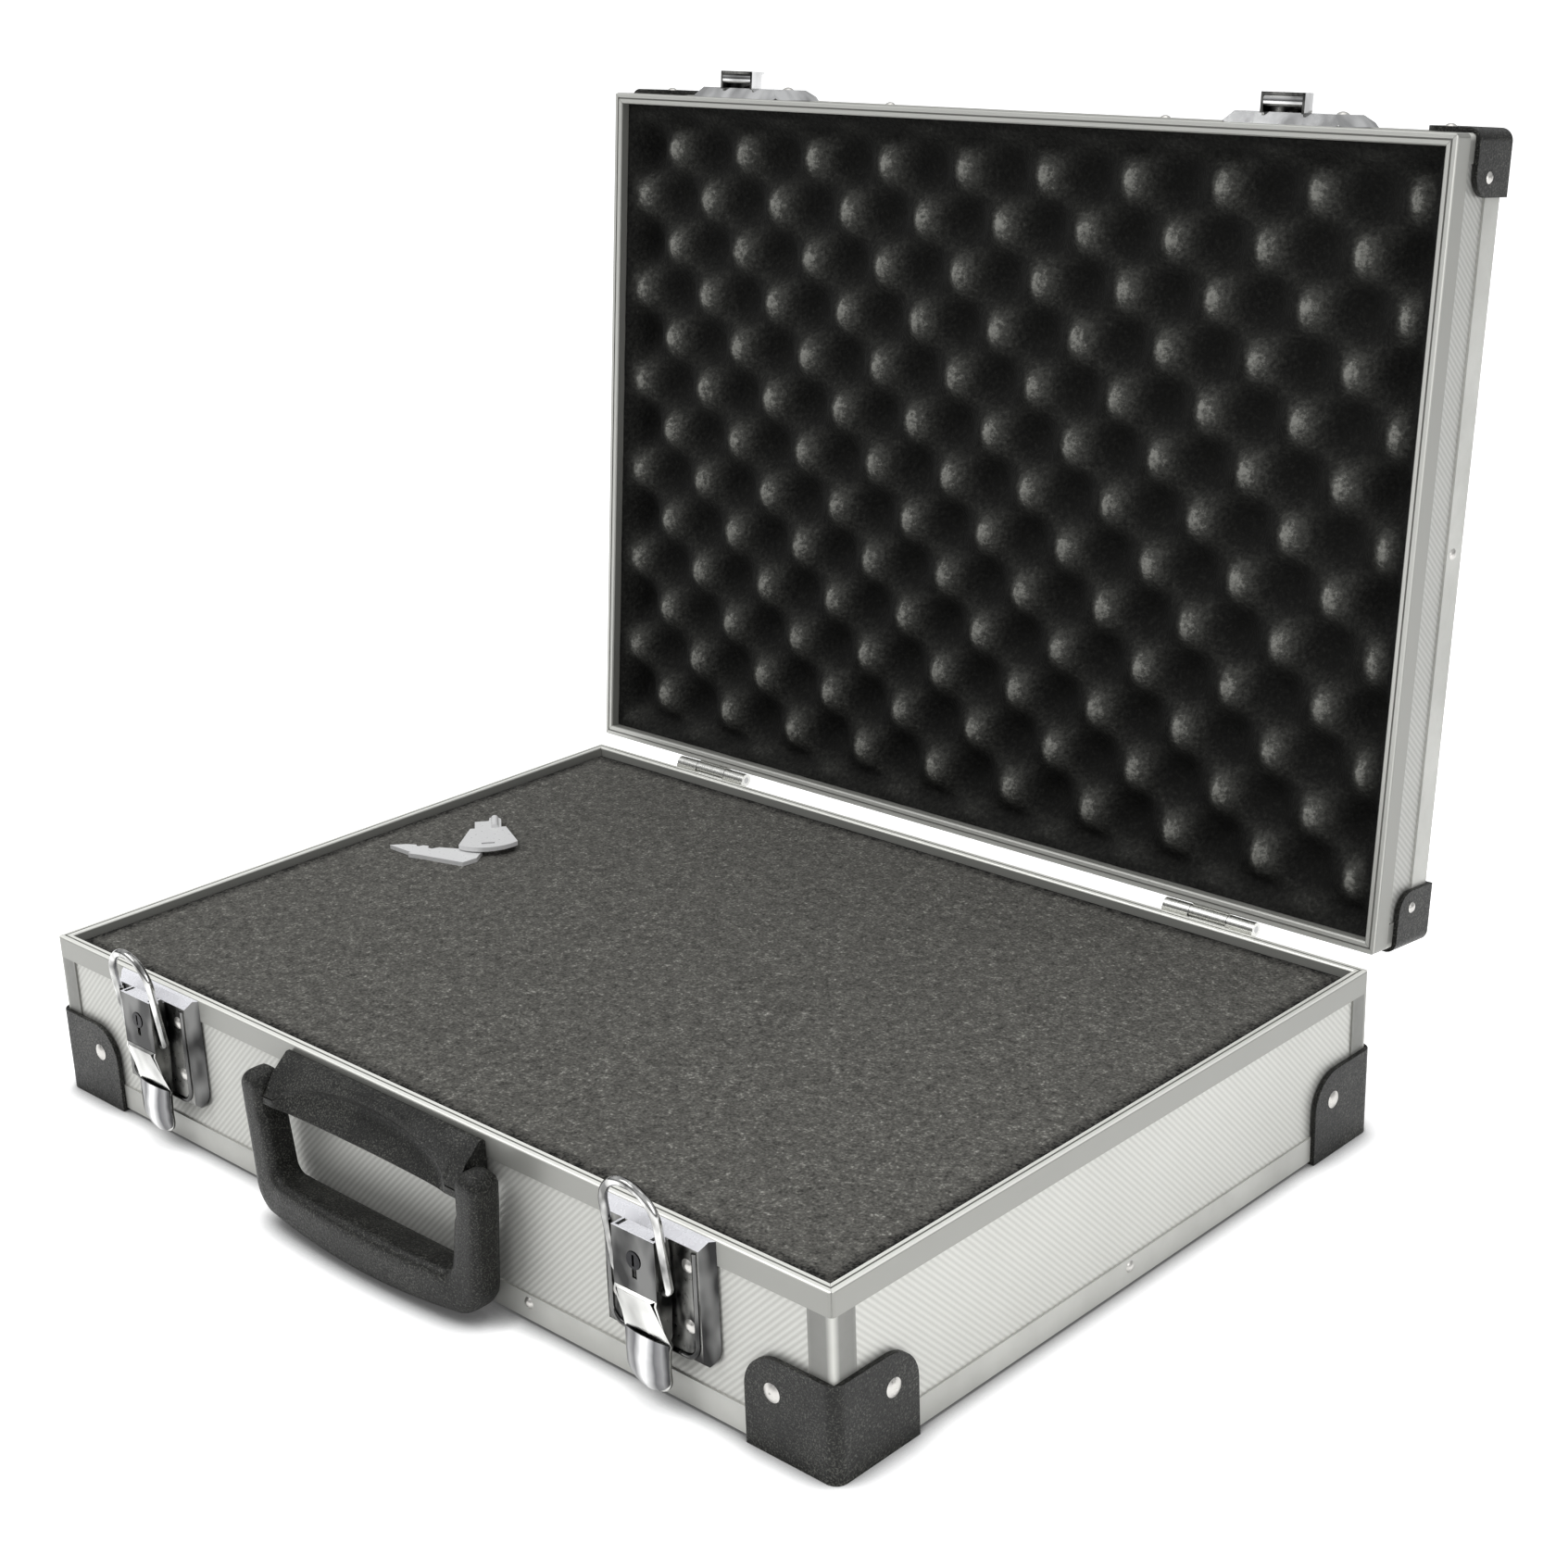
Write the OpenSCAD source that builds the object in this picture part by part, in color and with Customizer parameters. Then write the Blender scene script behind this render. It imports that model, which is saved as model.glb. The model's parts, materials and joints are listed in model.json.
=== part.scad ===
// Hard case for a laptop, drawn with its lid open against the hinge stop.
// X runs along the front, Y from the front wall to the back, Z up from the ground.

/* [Case] */
// Width over the walls
case_w = 450; // [300:1:600]
// Depth over the walls
case_d = 318; // [220:1:450]
// Height of the base rim above the ground
rim_z = 71.1; // [45:0.1:120]
// Height of the lid over its walls
lid_h = 36.5; // [24:0.1:80]
// Gap under the walls, left by the bottom plates of the corner protectors
foot = 1; // [0.6:0.1:3]
// Thickness of the aluminium edge profiles
skin = 0.8; // [0.5:0.1:1.5]
// Thickness of the wall boards
board_t = 3.3; // [2:0.1:6]
// Radius of the upright edges
corner_r = 2; // [0.5:0.1:6]
// Gap between the two rims when the lid is shut
rim_gap = 0.2; // [0.1:0.05:1]
// How far the lid stands open
lid_open = 95.7; // [0:0.1:110]

/* [Edge profiles] */
// Height of the band below each rim
band_h = 9.5; // [5:0.1:20]
// Width of the rim seen from above
rim_w = 4.9; // [3.5:0.1:10]
// Depth of the inner lip of the rim
lip_h = 7; // [2:0.1:12]
// Width of the groove along the rim
groove_w = 0.7; // [0.3:0.1:2]
// Height of the bottom rail above the ground
rail_top = 12; // [8:0.1:30]
// Width of the rail under the bottom board
rail_leg = 12; // [6:0.1:30]
// Width of the corner posts on each wall
post_w = 11; // [6:0.1:25]
// Height of the top rail of the lid
lid_rail_h = 11.6; // [6:0.1:20]
// Width of the open mitre between two sides of a frame
mitre_gap = 0.1; // [0.05:0.01:0.5]

/* [Corner protectors] */
// Thickness of the protectors on the walls
guard_t = 2; // [1:0.1:4]
// Radius of the upright edge of a protector
guard_r = 5; // [2:0.1:12]
// Leg length of the base protectors
guard_leg = 39; // [20:0.5:60]
// Height of the base protectors
guard_h = 37.5; // [15:0.5:60]
// Radius of the free corner of a base protector
guard_arc = 15; // [2:0.5:20]
// Leg length of the lid protectors
lid_guard_leg = 23.3; // [12:0.1:50]
// Height of the lid protectors, without the top plate
lid_guard_h = 23.1; // [12:0.1:34]
// Radius of the free corner of a lid protector
lid_guard_arc = 8.5; // [2:0.5:12]
// Thickness of the top plate of a lid protector
lid_guard_cap = 1.6; // [0.8:0.1:3]
// Distance of a base protector's rivet from the corner
guard_rivet_in = 26.3; // [10:0.1:40]
// Height of a base protector's rivet above the ground
guard_rivet_z = 24.5; // [14:0.1:40]
// Distance of a lid protector's rivet from the corner
lid_rivet_in = 16; // [8:0.1:30]
// Height of a lid protector's rivet above the rim
lid_rivet_z = 23; // [14:0.1:30]

/* [Rivets] */
// Radius of the rivet shanks
shank_r = 1.5; // [1:0.1:2.5]
// Clearance around each shank
shank_gap = 0.05; // [0.02:0.01:0.2]
// Radius of the large rivet heads
head_r = 3.6; // [2:0.1:5]
// Radius of the small rivet heads
small_head_r = 2.3; // [1.8:0.1:4]
// Height of the rivet heads
head_h = 1.1; // [0.5:0.1:2]
// Thickness of the clinched end inside the wall
clinch_h = 0.8; // [0.4:0.1:1]
// Distance of the rail rivets from the middle
rail_rivet_x = 75; // [20:1:200]
// Height of the bottom rail rivets above the ground
rail_rivet_z = 8.4; // [6.5:0.1:20]
// Height of the top rail rivets above the rim
lid_rail_rivet_z = 29.3; // [27:0.1:31]

/* [Foam] */
// Distance of the base foam below the rim
foam_drop = 3; // [2:0.1:30]
// Gap between the foam and the inner lip
foam_gap = 0.3; // [0.1:0.1:2]
// Distance between neighbouring bumps of the lid foam along a row
bump_pitch = 44; // [20:1:80]
// Distance between rows of bumps
bump_row = 22.2; // [10:0.1:40]
// Sideways position of one bump
bump_x = -13; // [-40:0.5:40]
// Distance of the first row of bumps from the front wall
bump_y = 25; // [0:0.5:40]
// Height of the bumps
bump_h = 13; // [3:0.5:20]
// Distance of the bump tips below the lid rim
bump_drop = 4; // [3:0.1:15]

/* [Latches] */
// Distance of each latch from the end of the case
latch_in = 78; // [60:1:100]
// Width of the latch plate at the wall
plate_w = 54; // [30:0.5:80]
// Width of the latch plate at its face
plate_face_w = 46; // [24:0.5:74]
// Distance of the plate's face from the wall
plate_out = 4.6; // [2:0.1:8]
// Height of the plate's lower edge above the ground
plate_z0 = 20.5; // [14:0.1:50]
// Height of the plate's upper edge above the ground
plate_z1 = 70.6; // [50:0.1:71]
// Sheet thickness of plates and levers
sheet = 1; // [0.6:0.1:2]
// Radius of the lower corners of the plate
plate_corner = 9; // [2:0.5:12]
// Distance of the plate rivets from the latch centre
plate_rivet_x = 17.5; // [13:0.1:21]
// Height of the lower plate rivets
plate_rivet_z0 = 37; // [28:0.1:50]
// Height of the upper plate rivets
plate_rivet_z1 = 60; // [50:0.1:60]
// Width of the lock box of the lever
box_w = 20.6; // [16:0.1:24]
// Distance of the lever's face from the wall
lever_out = 12.5; // [9:0.1:20]
// Height of the top of the lever
lever_z1 = 69.3; // [60:0.1:70]
// Height of the lower end of the lock box
box_z0 = 47; // [40:0.1:55]
// Height of the lower end of the sloping part
flare_z0 = 28; // [20:0.1:40]
// Height of the tip of the finger tab
tab_z0 = 8; // [3:0.1:20]
// Half width of the finger tab
tab_half = 10.6; // [8:0.1:13]
// Half width of the foot of the sloping part
flare_half = 11.3; // [10.3:0.1:14]
// Radius of the finger tab's corners
tab_r = 7; // [3:0.1:7]
// Distance of the bail's inner ends from the sides of the lock box
bail_end_in = 1.8; // [1.4:0.1:2.5]
// Distance of the plate's ears from the sides of the lock box
ear_in = 1.9; // [1.6:0.1:2.2]
// Distance of the lever's pin from the wall
pin_out = 9; // [7:0.1:12]
// Height of the lever's pin
pin_z = 65.8; // [60:0.1:67]
// Radius of the lever's pin
pin_r = 1.1; // [0.8:0.05:1.6]
// Running clearance of pins and pivots
run_gap = 0.06; // [0.02:0.01:0.1]
// Distance of the bail's pivot from the wall
bail_out = 8.8; // [7:0.1:12]
// Height of the bail's pivot
bail_z = 49.5; // [44:0.1:56]
// Radius of the bail wire
wire_r = 1.65; // [1:0.05:2.5]
// Distance of the bail's wire centres outside the lock box
bail_side = 2.7; // [2:0.1:6]
// Length of the bail from its pivot to the top of the loop
bail_len = 39.8; // [30:0.1:50]
// Outward lean of the bail
bail_lean = 8; // [0:0.5:20]
// Radius of the lock cylinder
lock_r = 3.3; // [2:0.1:4]
// Height of the lock cylinder
lock_z = 59; // [56:0.1:60]

/* [Strikes] */
// Width of the strike plate at the wall
strike_w = 53.6; // [30:0.1:80]
// Width of the strike plate at its face
strike_face_w = 45; // [24:0.1:74]
// Distance of the strike plate's face from the wall
strike_out = 4.5; // [2:0.1:8]
// Height of the strike plate's lower edge above the rim
strike_z0 = 2; // [0.5:0.1:6]
// Height of the strike plate's upper edge above the rim
strike_z1 = 31; // [20:0.1:34]
// Half width of the hook
hook_half = 10; // [6:0.1:10.5]
// Distance of the hook's tip from the wall
hook_out = 12; // [8:0.1:12.2]
// Height of the hook's lower edge above the rim
hook_z0 = 3.5; // [2.5:0.1:8]
// Thickness of the hook's walls
hook_t = 1.2; // [0.8:0.1:2]
// Height of the lip over the hook's saddle
hook_lip = 1.2; // [0.5:0.1:2]
// Height of the strike's middle rivet above the rim
strike_rivet_z0 = 11.5; // [11:0.1:14]
// Height of the strike's outer rivets above the rim
strike_rivet_z1 = 21; // [14:0.1:25]
// Distance of the strike's outer rivets from its centre
strike_rivet_x = 16.5; // [13:0.1:20]

/* [Hinges] */
// Distance of the hinges from the end of the case
hinge_in = 78; // [60:1:100]
// Width of each hinge
hinge_w = 45; // [25:0.5:70]
// Distance of the hinge axis behind the back wall
hinge_out = 3.6; // [3.3:0.1:6]
// Height of the hinge axis above the rim
hinge_up = 1.1; // [0:0.1:3]
// Radius of the knuckles
knuckle_r = 3; // [2:0.1:4]
// Thickness of the hinge leaves
leaf_t = 1.2; // [0.8:0.1:2]
// Height of the leaf on the base
leaf_h = 22; // [12:0.5:40]
// Length of the middle knuckle
knuckle_mid = 18.4; // [8:0.1:30]
// Gap between knuckles
knuckle_gap = 0.3; // [0.1:0.1:1]
// Radius of the hinge pin
hinge_pin_r = 1.5; // [1:0.1:2]
// Distance of the leaf rivets from the edge of the rim
leaf_rivet_z = 15.5; // [13:0.1:18]
// Distance of the leaf rivets from the middle of the leaf
leaf_rivet_x = 14; // [6:0.1:16]

/* [Handle] */
// Half width over the legs of the handle at its pivots
grip_half = 70.5; // [50:0.5:90]
// Distance of the handle's front from the wall
grip_front = 17.5; // [12:0.1:25]
// Distance of the handle's back from the wall
grip_back = 4; // [2:0.1:6]
// Height of the handle's pivot above the ground
grip_z = 57; // [50:0.1:62]
// Height of the lowest point of the grip
grip_z0 = 1; // [0.5:0.1:10]
// Height of the lower edge of the handle's window
window_z = 20.5; // [15:0.1:30]
// Width of the legs at the pivots
leg_w = 12.6; // [8:0.1:18]
// Gap between each leg and the bracket
grip_gap = 0.4; // [0.3:0.1:2]
// Radius of the handle's lower corners
grip_corner = 13.1; // [6:0.1:16]
// How far the handle's lower edge sags below its corners
grip_sag = 2.9; // [1:0.1:5]
// How far the handle's bar bows out in front
grip_bow = 4; // [1:0.1:6]
// Height of the bracket's lower edge
bracket_z0 = 50.5; // [44:0.1:55]
// Height of the bracket's upper edge
bracket_z1 = 67; // [60:0.1:70]
// Distance of the bracket's front from the wall
bracket_out = 16; // [14:0.1:18]
// Wall thickness of the bracket
bracket_t = 2.4; // [1.5:0.1:4]
// Radius of the handle's pivot pins
pivot_r = 2.2; // [1.5:0.1:2.4]
// Height of the bracket's screws above the ground
bracket_screw_z = 58.5; // [57:0.1:60]
// Depth of the screws in the bracket
screw_depth = 8; // [5:0.1:10]

/* [Keys] */
// Thickness of the keys
key_t = 2; // [1:0.1:3]
// Length of a key's blade
key_blade = 26; // [15:0.5:40]

/* [Hidden] */
wall_in = skin + board_t;
rest_z = foot + skin + board_t;
board_top = 1.2;
hinge_y = case_d + hinge_out;
hinge_z = rim_z + hinge_up;
y_back = hinge_y - (guard_t + hinge_y) * cos(lid_open)
  + (lid_h + lid_guard_cap - hinge_up) * sin(lid_open);
y_mid = (y_back - grip_front - grip_bow) / 2;
grip_y = -(grip_front + grip_back) / 2;
hub_r = (grip_front - grip_back) / 2;
bracket_half = grip_half - leg_w - grip_gap;
latch_x = case_w / 2 - latch_in;
hinge_x = case_w / 2 - hinge_in;
bail_half = box_w / 2 + bail_side;
bail_end = box_w / 2 - bail_end_in;
ear_x = box_w / 2 - ear_in;
foam_in = rim_w + foam_gap;
foam_top = rim_z - foam_drop;
$fn = 48;

function arc(cx, cy, r, a0, a1, n) =
  [for (i = [0:n]) [cx + r * cos(a0 + (a1 - a0) * i / n), cy + r * sin(a0 + (a1 - a0) * i / n)]];

module place() { translate([0, -y_mid, 0]) children(); }

module lid_place() {
  place() translate([0, hinge_y, hinge_z]) rotate([-lid_open, 0, 0])
    translate([0, -hinge_y, -hinge_up]) children();
}

module both() {
  children();
  mirror([1, 0, 0]) children();
}

// The four corners of the case plan, each with its inside towards +X and +Y
module corner(i) {
  if (i == 0) translate([-case_w / 2, 0, 0]) children();
  if (i == 1) translate([case_w / 2, 0, 0]) mirror([1, 0, 0]) children();
  if (i == 2) translate([-case_w / 2, case_d, 0]) mirror([0, 1, 0]) children();
  if (i == 3) translate([case_w / 2, case_d, 0]) rotate([0, 0, 180]) children();
}

// The four walls, each with its inside towards +Y and its middle at the origin
module wall(i) {
  if (i == 0) children();
  if (i == 1) translate([0, case_d, 0]) rotate([0, 0, 180]) children();
  if (i == 2) translate([-case_w / 2, case_d / 2, 0]) rotate([0, 0, -90]) children();
  if (i == 3) translate([case_w / 2, case_d / 2, 0]) rotate([0, 0, 90]) children();
}

function wall_len(i) = i < 2 ? case_w : case_d;

module plan_outline() {
  translate([-case_w / 2 + corner_r, 0]) square([case_w - 2 * corner_r, case_d]);
  translate([-case_w / 2, corner_r]) square([case_w, case_d - 2 * corner_r]);
  for (x = [-1, 1], y = [corner_r, case_d - corner_r])
    translate([x * (case_w / 2 - corner_r), y]) circle(r = corner_r);
}

// One mitred side of a frame, cut from a profile given as distance inward and height
module frame_side(i, z0, z1) {
  len = wall_len(i);
  g = mitre_gap / sqrt(2);
  reach = len / 4;
  intersection() {
    wall(i) intersection() {
      rotate([90, 0, 90]) translate([0, 0, -len / 2]) linear_extrude(len) children();
      translate([0, 0, z0]) linear_extrude(z1 - z0)
        polygon([[g - len / 2, 0], [len / 2 - g, 0], [len / 2 - g - reach, reach], [g + reach - len / 2, reach]]);
    }
    translate([0, 0, z0]) linear_extrude(z1 - z0) plan_outline();
  }
}

module rim_profile() {
  bevel = 0.6;
  deep = 0.45;
  mid = rim_w / 2;
  polygon([
    [0, -band_h], [0, -bevel], [bevel, 0], [mid - groove_w / 2, 0], [mid - groove_w / 2, -deep],
    [mid + groove_w / 2, -deep], [mid + groove_w / 2, 0], [rim_w - bevel, 0], [rim_w, -bevel],
    [rim_w, -lip_h], [wall_in, -lip_h], [wall_in, -board_top], [skin, -board_top], [skin, -band_h]
  ]);
}

module rim_run() {
  for (i = [0:3]) frame_side(i, -band_h - 1, 1) rim_profile();
}

module rail_run(h) {
  bevel = 0.4;
  for (i = [0:3]) frame_side(i, -1, h + 1)
    polygon([[bevel, 0], [rail_leg, 0], [rail_leg, skin], [skin, skin], [skin, h], [0, h], [0, bevel]]);
}

module post(z0, z1) {
  difference() {
    translate([0, 0, z0]) linear_extrude(z1 - z0) {
      translate([corner_r, corner_r]) circle(r = corner_r);
      translate([corner_r, 0]) square([post_w - corner_r, post_w]);
      translate([0, corner_r]) square([post_w, post_w - corner_r]);
    }
    translate([skin, skin, z0 - 1]) cube([post_w, post_w, z1 - z0 + 2]);
  }
}

// A protector over a corner at the origin: walls up to rise, a plate of thickness cap below
module protector(leg, rise, r, cap, rivet_in, rivet_z) {
  side = [each arc(leg - r, rise - r, r, 0, 90, 10), [-guard_t, rise], [-guard_t, -cap], [leg, -cap]];
  difference() {
    intersection() {
      translate([0, 0, -cap]) linear_extrude(rise + cap) {
        translate([guard_r - guard_t, guard_r - guard_t]) circle(r = guard_r);
        translate([guard_r - guard_t, -guard_t]) square([leg + guard_t - guard_r, leg + guard_t]);
        translate([-guard_t, guard_r - guard_t]) square([leg + guard_t, leg + guard_t - guard_r]);
      }
      translate([0, leg, 0]) rotate([90, 0, 0]) linear_extrude(leg + guard_t) polygon(side);
      translate([-guard_t, 0, 0]) rotate([90, 0, 90]) linear_extrude(leg + guard_t) polygon(side);
    }
    cube([leg + 1, leg + 1, rise + 1]);
    translate([0, 0, -cap - 1]) linear_extrude(cap + 2)
      polygon([[leg + 1, leg * 0.3], [leg * 0.3, leg + 1], [leg + 1, leg + 1]]);
    translate([rivet_in, 0, rivet_z]) rotate([90, 0, 0]) hole(guard_t + 1, 1);
    translate([0, rivet_in, rivet_z]) rotate([0, -90, 0]) hole(guard_t + 1, 1);
  }
}

module dome(r, h) {
  big = (r * r + h * h) / (2 * h);
  intersection() {
    translate([0, 0, h - big]) sphere(r = big, $fn = 96);
    cylinder(r = r, h = h + 1);
  }
}

// A rivet along Z: dome above the surface, shank through the stack, clinched end below it
module rivet(r, grip) {
  dome(r, head_h);
  translate([0, 0, -grip]) cylinder(r = shank_r, h = grip);
  translate([0, 0, -grip - clinch_h]) cylinder(r = 2.4, h = clinch_h);
}

module hole(up, down) {
  translate([0, 0, -down]) cylinder(r = shank_r + shank_gap, h = up + down);
}

module guard_rivets(inset, z, out) {
  for (i = [0:3]) corner(i) {
    translate([inset, -out, z]) rotate([90, 0, 0]) children();
    translate([-out, inset, z]) rotate([0, -90, 0]) children();
  }
}

module rail_rivets(z) {
  for (i = [0:1], s = [-1, 1]) wall(i) translate([s * rail_rivet_x, 0, z]) rotate([90, 0, 0]) children();
  for (i = [2:3]) wall(i) translate([0, 0, z]) rotate([90, 0, 0]) children();
}

module plate_rivets() {
  both() for (s = [-1, 1], z = [plate_rivet_z0, plate_rivet_z1])
    translate([latch_x + s * plate_rivet_x, -plate_out, z]) rotate([90, 0, 0]) children();
}

module bracket_screws() {
  both() for (k = [0.35, 0.83]) translate([k * bracket_half, 0, bracket_screw_z]) rotate([90, 0, 0]) children();
}

module strike_rivets_at() {
  both() translate([latch_x, -strike_out, 0]) {
    translate([0, 0, strike_rivet_z0]) rotate([90, 0, 0]) children();
    for (s = [-1, 1]) translate([s * strike_rivet_x, 0, strike_rivet_z1]) rotate([90, 0, 0]) children();
  }
}

module leaf_rivets(out, z) {
  both() for (s = [-1, 1]) translate([hinge_x + s * leaf_rivet_x, case_d + out, z]) rotate([-90, 0, 0]) children();
}

module base_holes() {
  guard_rivets(guard_rivet_in, guard_rivet_z, 0) hole(1, 6);
  rail_rivets(rail_rivet_z) hole(1, 6);
  plate_rivets() hole(1, plate_out + 6);
  bracket_screws() hole(1, 6);
  leaf_rivets(0, rim_z - leaf_rivet_z) hole(1, 6);
}

module lid_holes() {
  guard_rivets(lid_rivet_in, lid_rivet_z, 0) hole(1, 6);
  rail_rivets(lid_rail_rivet_z) hole(1, 6);
  strike_rivets_at() hole(1, strike_out + 6);
  leaf_rivets(0, leaf_rivet_z) hole(1, 6);
}

module long_board(i, z0, z1) {
  wall(i) translate([skin - case_w / 2, skin, z0]) cube([case_w - 2 * skin, board_t, z1 - z0]);
}

module short_board(i, z0, z1) {
  wall(i) translate([wall_in - case_d / 2, skin, z0]) cube([case_d - 2 * wall_in, board_t, z1 - z0]);
}

module flat_board(z) {
  translate([skin - case_w / 2, skin, z]) cube([case_w - 2 * skin, case_d - 2 * skin, board_t]);
}

// Base

module base_rim_frame() {
  color([0.75, 0.75, 0.73]) place() translate([0, 0, rim_z]) rim_run();
}

module base_corner_posts() {
  color([0.75, 0.75, 0.73]) place() for (i = [0:3]) corner(i) post(rail_top, rim_z - band_h);
}

module base_bottom_rails() {
  color([0.75, 0.75, 0.73]) place() difference() {
    translate([0, 0, foot]) rail_run(rail_top - foot);
    rail_rivets(rail_rivet_z) hole(1, 6);
  }
}

module base_wall(i) {
  color([0.7, 0.7, 0.68]) place() difference() {
    if (i < 2) long_board(i, rest_z, rim_z - board_top);
    else short_board(i, rest_z, rim_z - board_top);
    base_holes();
  }
}

module base_front_panel() { base_wall(0); }
module base_back_panel() { base_wall(1); }
module base_left_panel() { base_wall(2); }
module base_right_panel() { base_wall(3); }

module base_bottom_panel() {
  color([0.6, 0.6, 0.58]) place() flat_board(foot + skin);
}

module base_foam() {
  color([0.33, 0.33, 0.31]) place() translate([foam_in - case_w / 2, foam_in, rest_z])
    cube([case_w - 2 * foam_in, case_d - 2 * foam_in, foam_top - rest_z]);
}

module base_guard(i) {
  color([0.2, 0.2, 0.2]) place() translate([0, 0, foot]) corner(i)
    protector(guard_leg, guard_h - foot, guard_arc, foot, guard_rivet_in, guard_rivet_z - foot);
}

module base_protector_front_left() { base_guard(0); }
module base_protector_front_right() { base_guard(1); }
module base_protector_back_left() { base_guard(2); }
module base_protector_back_right() { base_guard(3); }

module base_protector_rivets() {
  color([0.8, 0.8, 0.8]) place() guard_rivets(guard_rivet_in, guard_rivet_z, guard_t)
    rivet(head_r, guard_t + wall_in);
}

module base_rail_rivets() {
  color([0.8, 0.8, 0.8]) place() rail_rivets(rail_rivet_z) rivet(small_head_r, wall_in);
}

// Handle bracket and handle

module bracket_body(shrink) {
  h = bracket_half - shrink;
  lo = bracket_z0 + shrink;
  hi = bracket_z1 - shrink;
  out = bracket_out - shrink;
  intersection() {
    rotate([90, 0, 0]) linear_extrude(40, center = true)
      polygon([[-h, lo], [h, lo], [h, hi - 5], [h - 6, hi], [6 - h, hi], [-h, hi - 5]]);
    rotate([90, 0, 90]) linear_extrude(2 * case_w, center = true)
      polygon([[1, lo], [-out + 2, lo], [-out, lo + 2], [-out, hi - 7], [-out + 3, hi - 2.2], [-8, hi], [1, hi]]);
  }
}

module handle_bracket() {
  wide = bracket_half + 2.5;
  lo = bracket_z0 - 1.5;
  hi = bracket_z1 + 2;
  color([0.24, 0.24, 0.23]) place() difference() {
    union() {
      difference() {
        bracket_body(0);
        bracket_body(bracket_t);
        translate([-case_w, 0, 0]) cube([2 * case_w, case_d, rim_z]);
      }
      difference() {
        rotate([90, 0, 0]) linear_extrude(2.5)
          polygon([[-wide, lo], [wide, lo], [wide, hi - 5], [wide - 5, hi], [5 - wide, hi], [-wide, hi - 5]]);
        translate([6 - wide, -3, bracket_z0 + bracket_t])
          cube([2 * wide - 12, 4, bracket_z1 - bracket_z0 - 2 * bracket_t]);
      }
      bracket_screws() cylinder(r = 3.6, h = bracket_out - 1);
    }
    bracket_screws() translate([0, 0, -1]) cylinder(r = shank_r + shank_gap, h = screw_depth + 2);
    translate([0, grip_y, grip_z]) rotate([0, 90, 0]) cylinder(r = pivot_r + run_gap, h = 2 * case_w, center = true);
  }
}

module handle_screws() {
  color([0.6, 0.6, 0.6]) place() bracket_screws() {
    translate([0, 0, -wall_in]) cylinder(r = shank_r, h = wall_in + screw_depth);
    translate([0, 0, -wall_in - clinch_h]) cylinder(r = 2.8, h = clinch_h);
  }
}

module grip_outline() {
  leg_x = grip_half - leg_w / 2;
  in_x = grip_half - leg_w;
  flat_x = grip_half - grip_corner - 4.4;
  bow = flat_x * flat_x / (2 * grip_sag);
  tilt = asin(flat_x / bow);
  right = [
    each arc(0, grip_z0 + bow, bow, -90, -90 + tilt, 6),
    each arc(grip_half - grip_corner - 3.4, grip_z0 + grip_sag + grip_corner, grip_corner, -80, 0, 8),
    [grip_half, grip_z - 1], each arc(leg_x, grip_z, leg_w / 2, 0, 180, 12),
    [in_x, grip_z - 11], [in_x - 1.6, grip_z - 14],
    each arc(in_x - 9.4, window_z + 5, 5, 0, -90, 6), [0, window_z]
  ];
  polygon(concat(right, [for (i = [len(right) - 2:-1:1]) [-right[i][0], right[i][1]]]));
}

module handle_grip() {
  front = grip_front + grip_bow;
  span = grip_half + 3;
  big = (span * span + grip_bow * grip_bow) / (2 * grip_bow);
  color([0.22, 0.22, 0.21]) place() difference() {
    intersection() {
      rotate([90, 0, 0]) linear_extrude(40) grip_outline();
      rotate([90, 0, 90]) linear_extrude(2 * case_w, center = true) polygon([
        each arc(grip_y, grip_z, hub_r, 0, 180, 16), [-grip_front, window_z + 4], [-front, window_z - 3],
        each arc(5 - front, grip_z0 + 5, 5, 180, 270, 6), each arc(-grip_back - 5, grip_z0 + 5, 5, -90, 0, 6)
      ]);
      translate([0, big - front, 0]) cylinder(r = big, h = rim_z, $fn = 360);
    }
    translate([0, grip_y, grip_z]) rotate([0, 90, 0]) cylinder(r = pivot_r + run_gap, h = 2 * case_w, center = true);
  }
}

module handle_pivots() {
  color([0.6, 0.6, 0.6]) place() both() {
    translate([bracket_half - 5, grip_y, grip_z]) rotate([0, 90, 0])
      cylinder(r = pivot_r, h = grip_half - bracket_half + 4.4);
  }
}

// Latches, drawn around x = 0 and put in place by at_latch

module at_latch(s) { place() translate([s * latch_x, 0, 0]) children(); }

// A pressed tray: wide at the wall, narrower at its face
module tray(w, face_w, out, z0, z1, slope, top_slope, r) {
  intersection() {
    translate([0, 0, z0 - 1]) linear_extrude(z1 - z0 + 2)
      polygon([[-w / 2, 0], [w / 2, 0], [face_w / 2, -out], [-face_w / 2, -out]]);
    rotate([90, 0, 90]) linear_extrude(2 * w, center = true)
      polygon([[0, z0], [-out, z0 + slope], [-out, z1 - top_slope], [-out * 0.4, z1], [0, z1]]);
    rotate([90, 0, 0]) linear_extrude(2 * out, center = true)
      polygon([
        each arc(w / 2 - r, z0 + r, r, -90, 0, 8), [w / 2, z1], [-w / 2, z1],
        each arc(r - w / 2, z0 + r, r, 180, 270, 8)
      ]);
  }
}

module latch_ear() {
  rotate([90, 0, 90]) linear_extrude(1, center = true)
    polygon([
      [-plate_out, pin_z - 5.8], each arc(-pin_out, pin_z, 2 * pin_r, 215, 90, 10), [-plate_out, pin_z + 0.8]
    ]);
}

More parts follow.
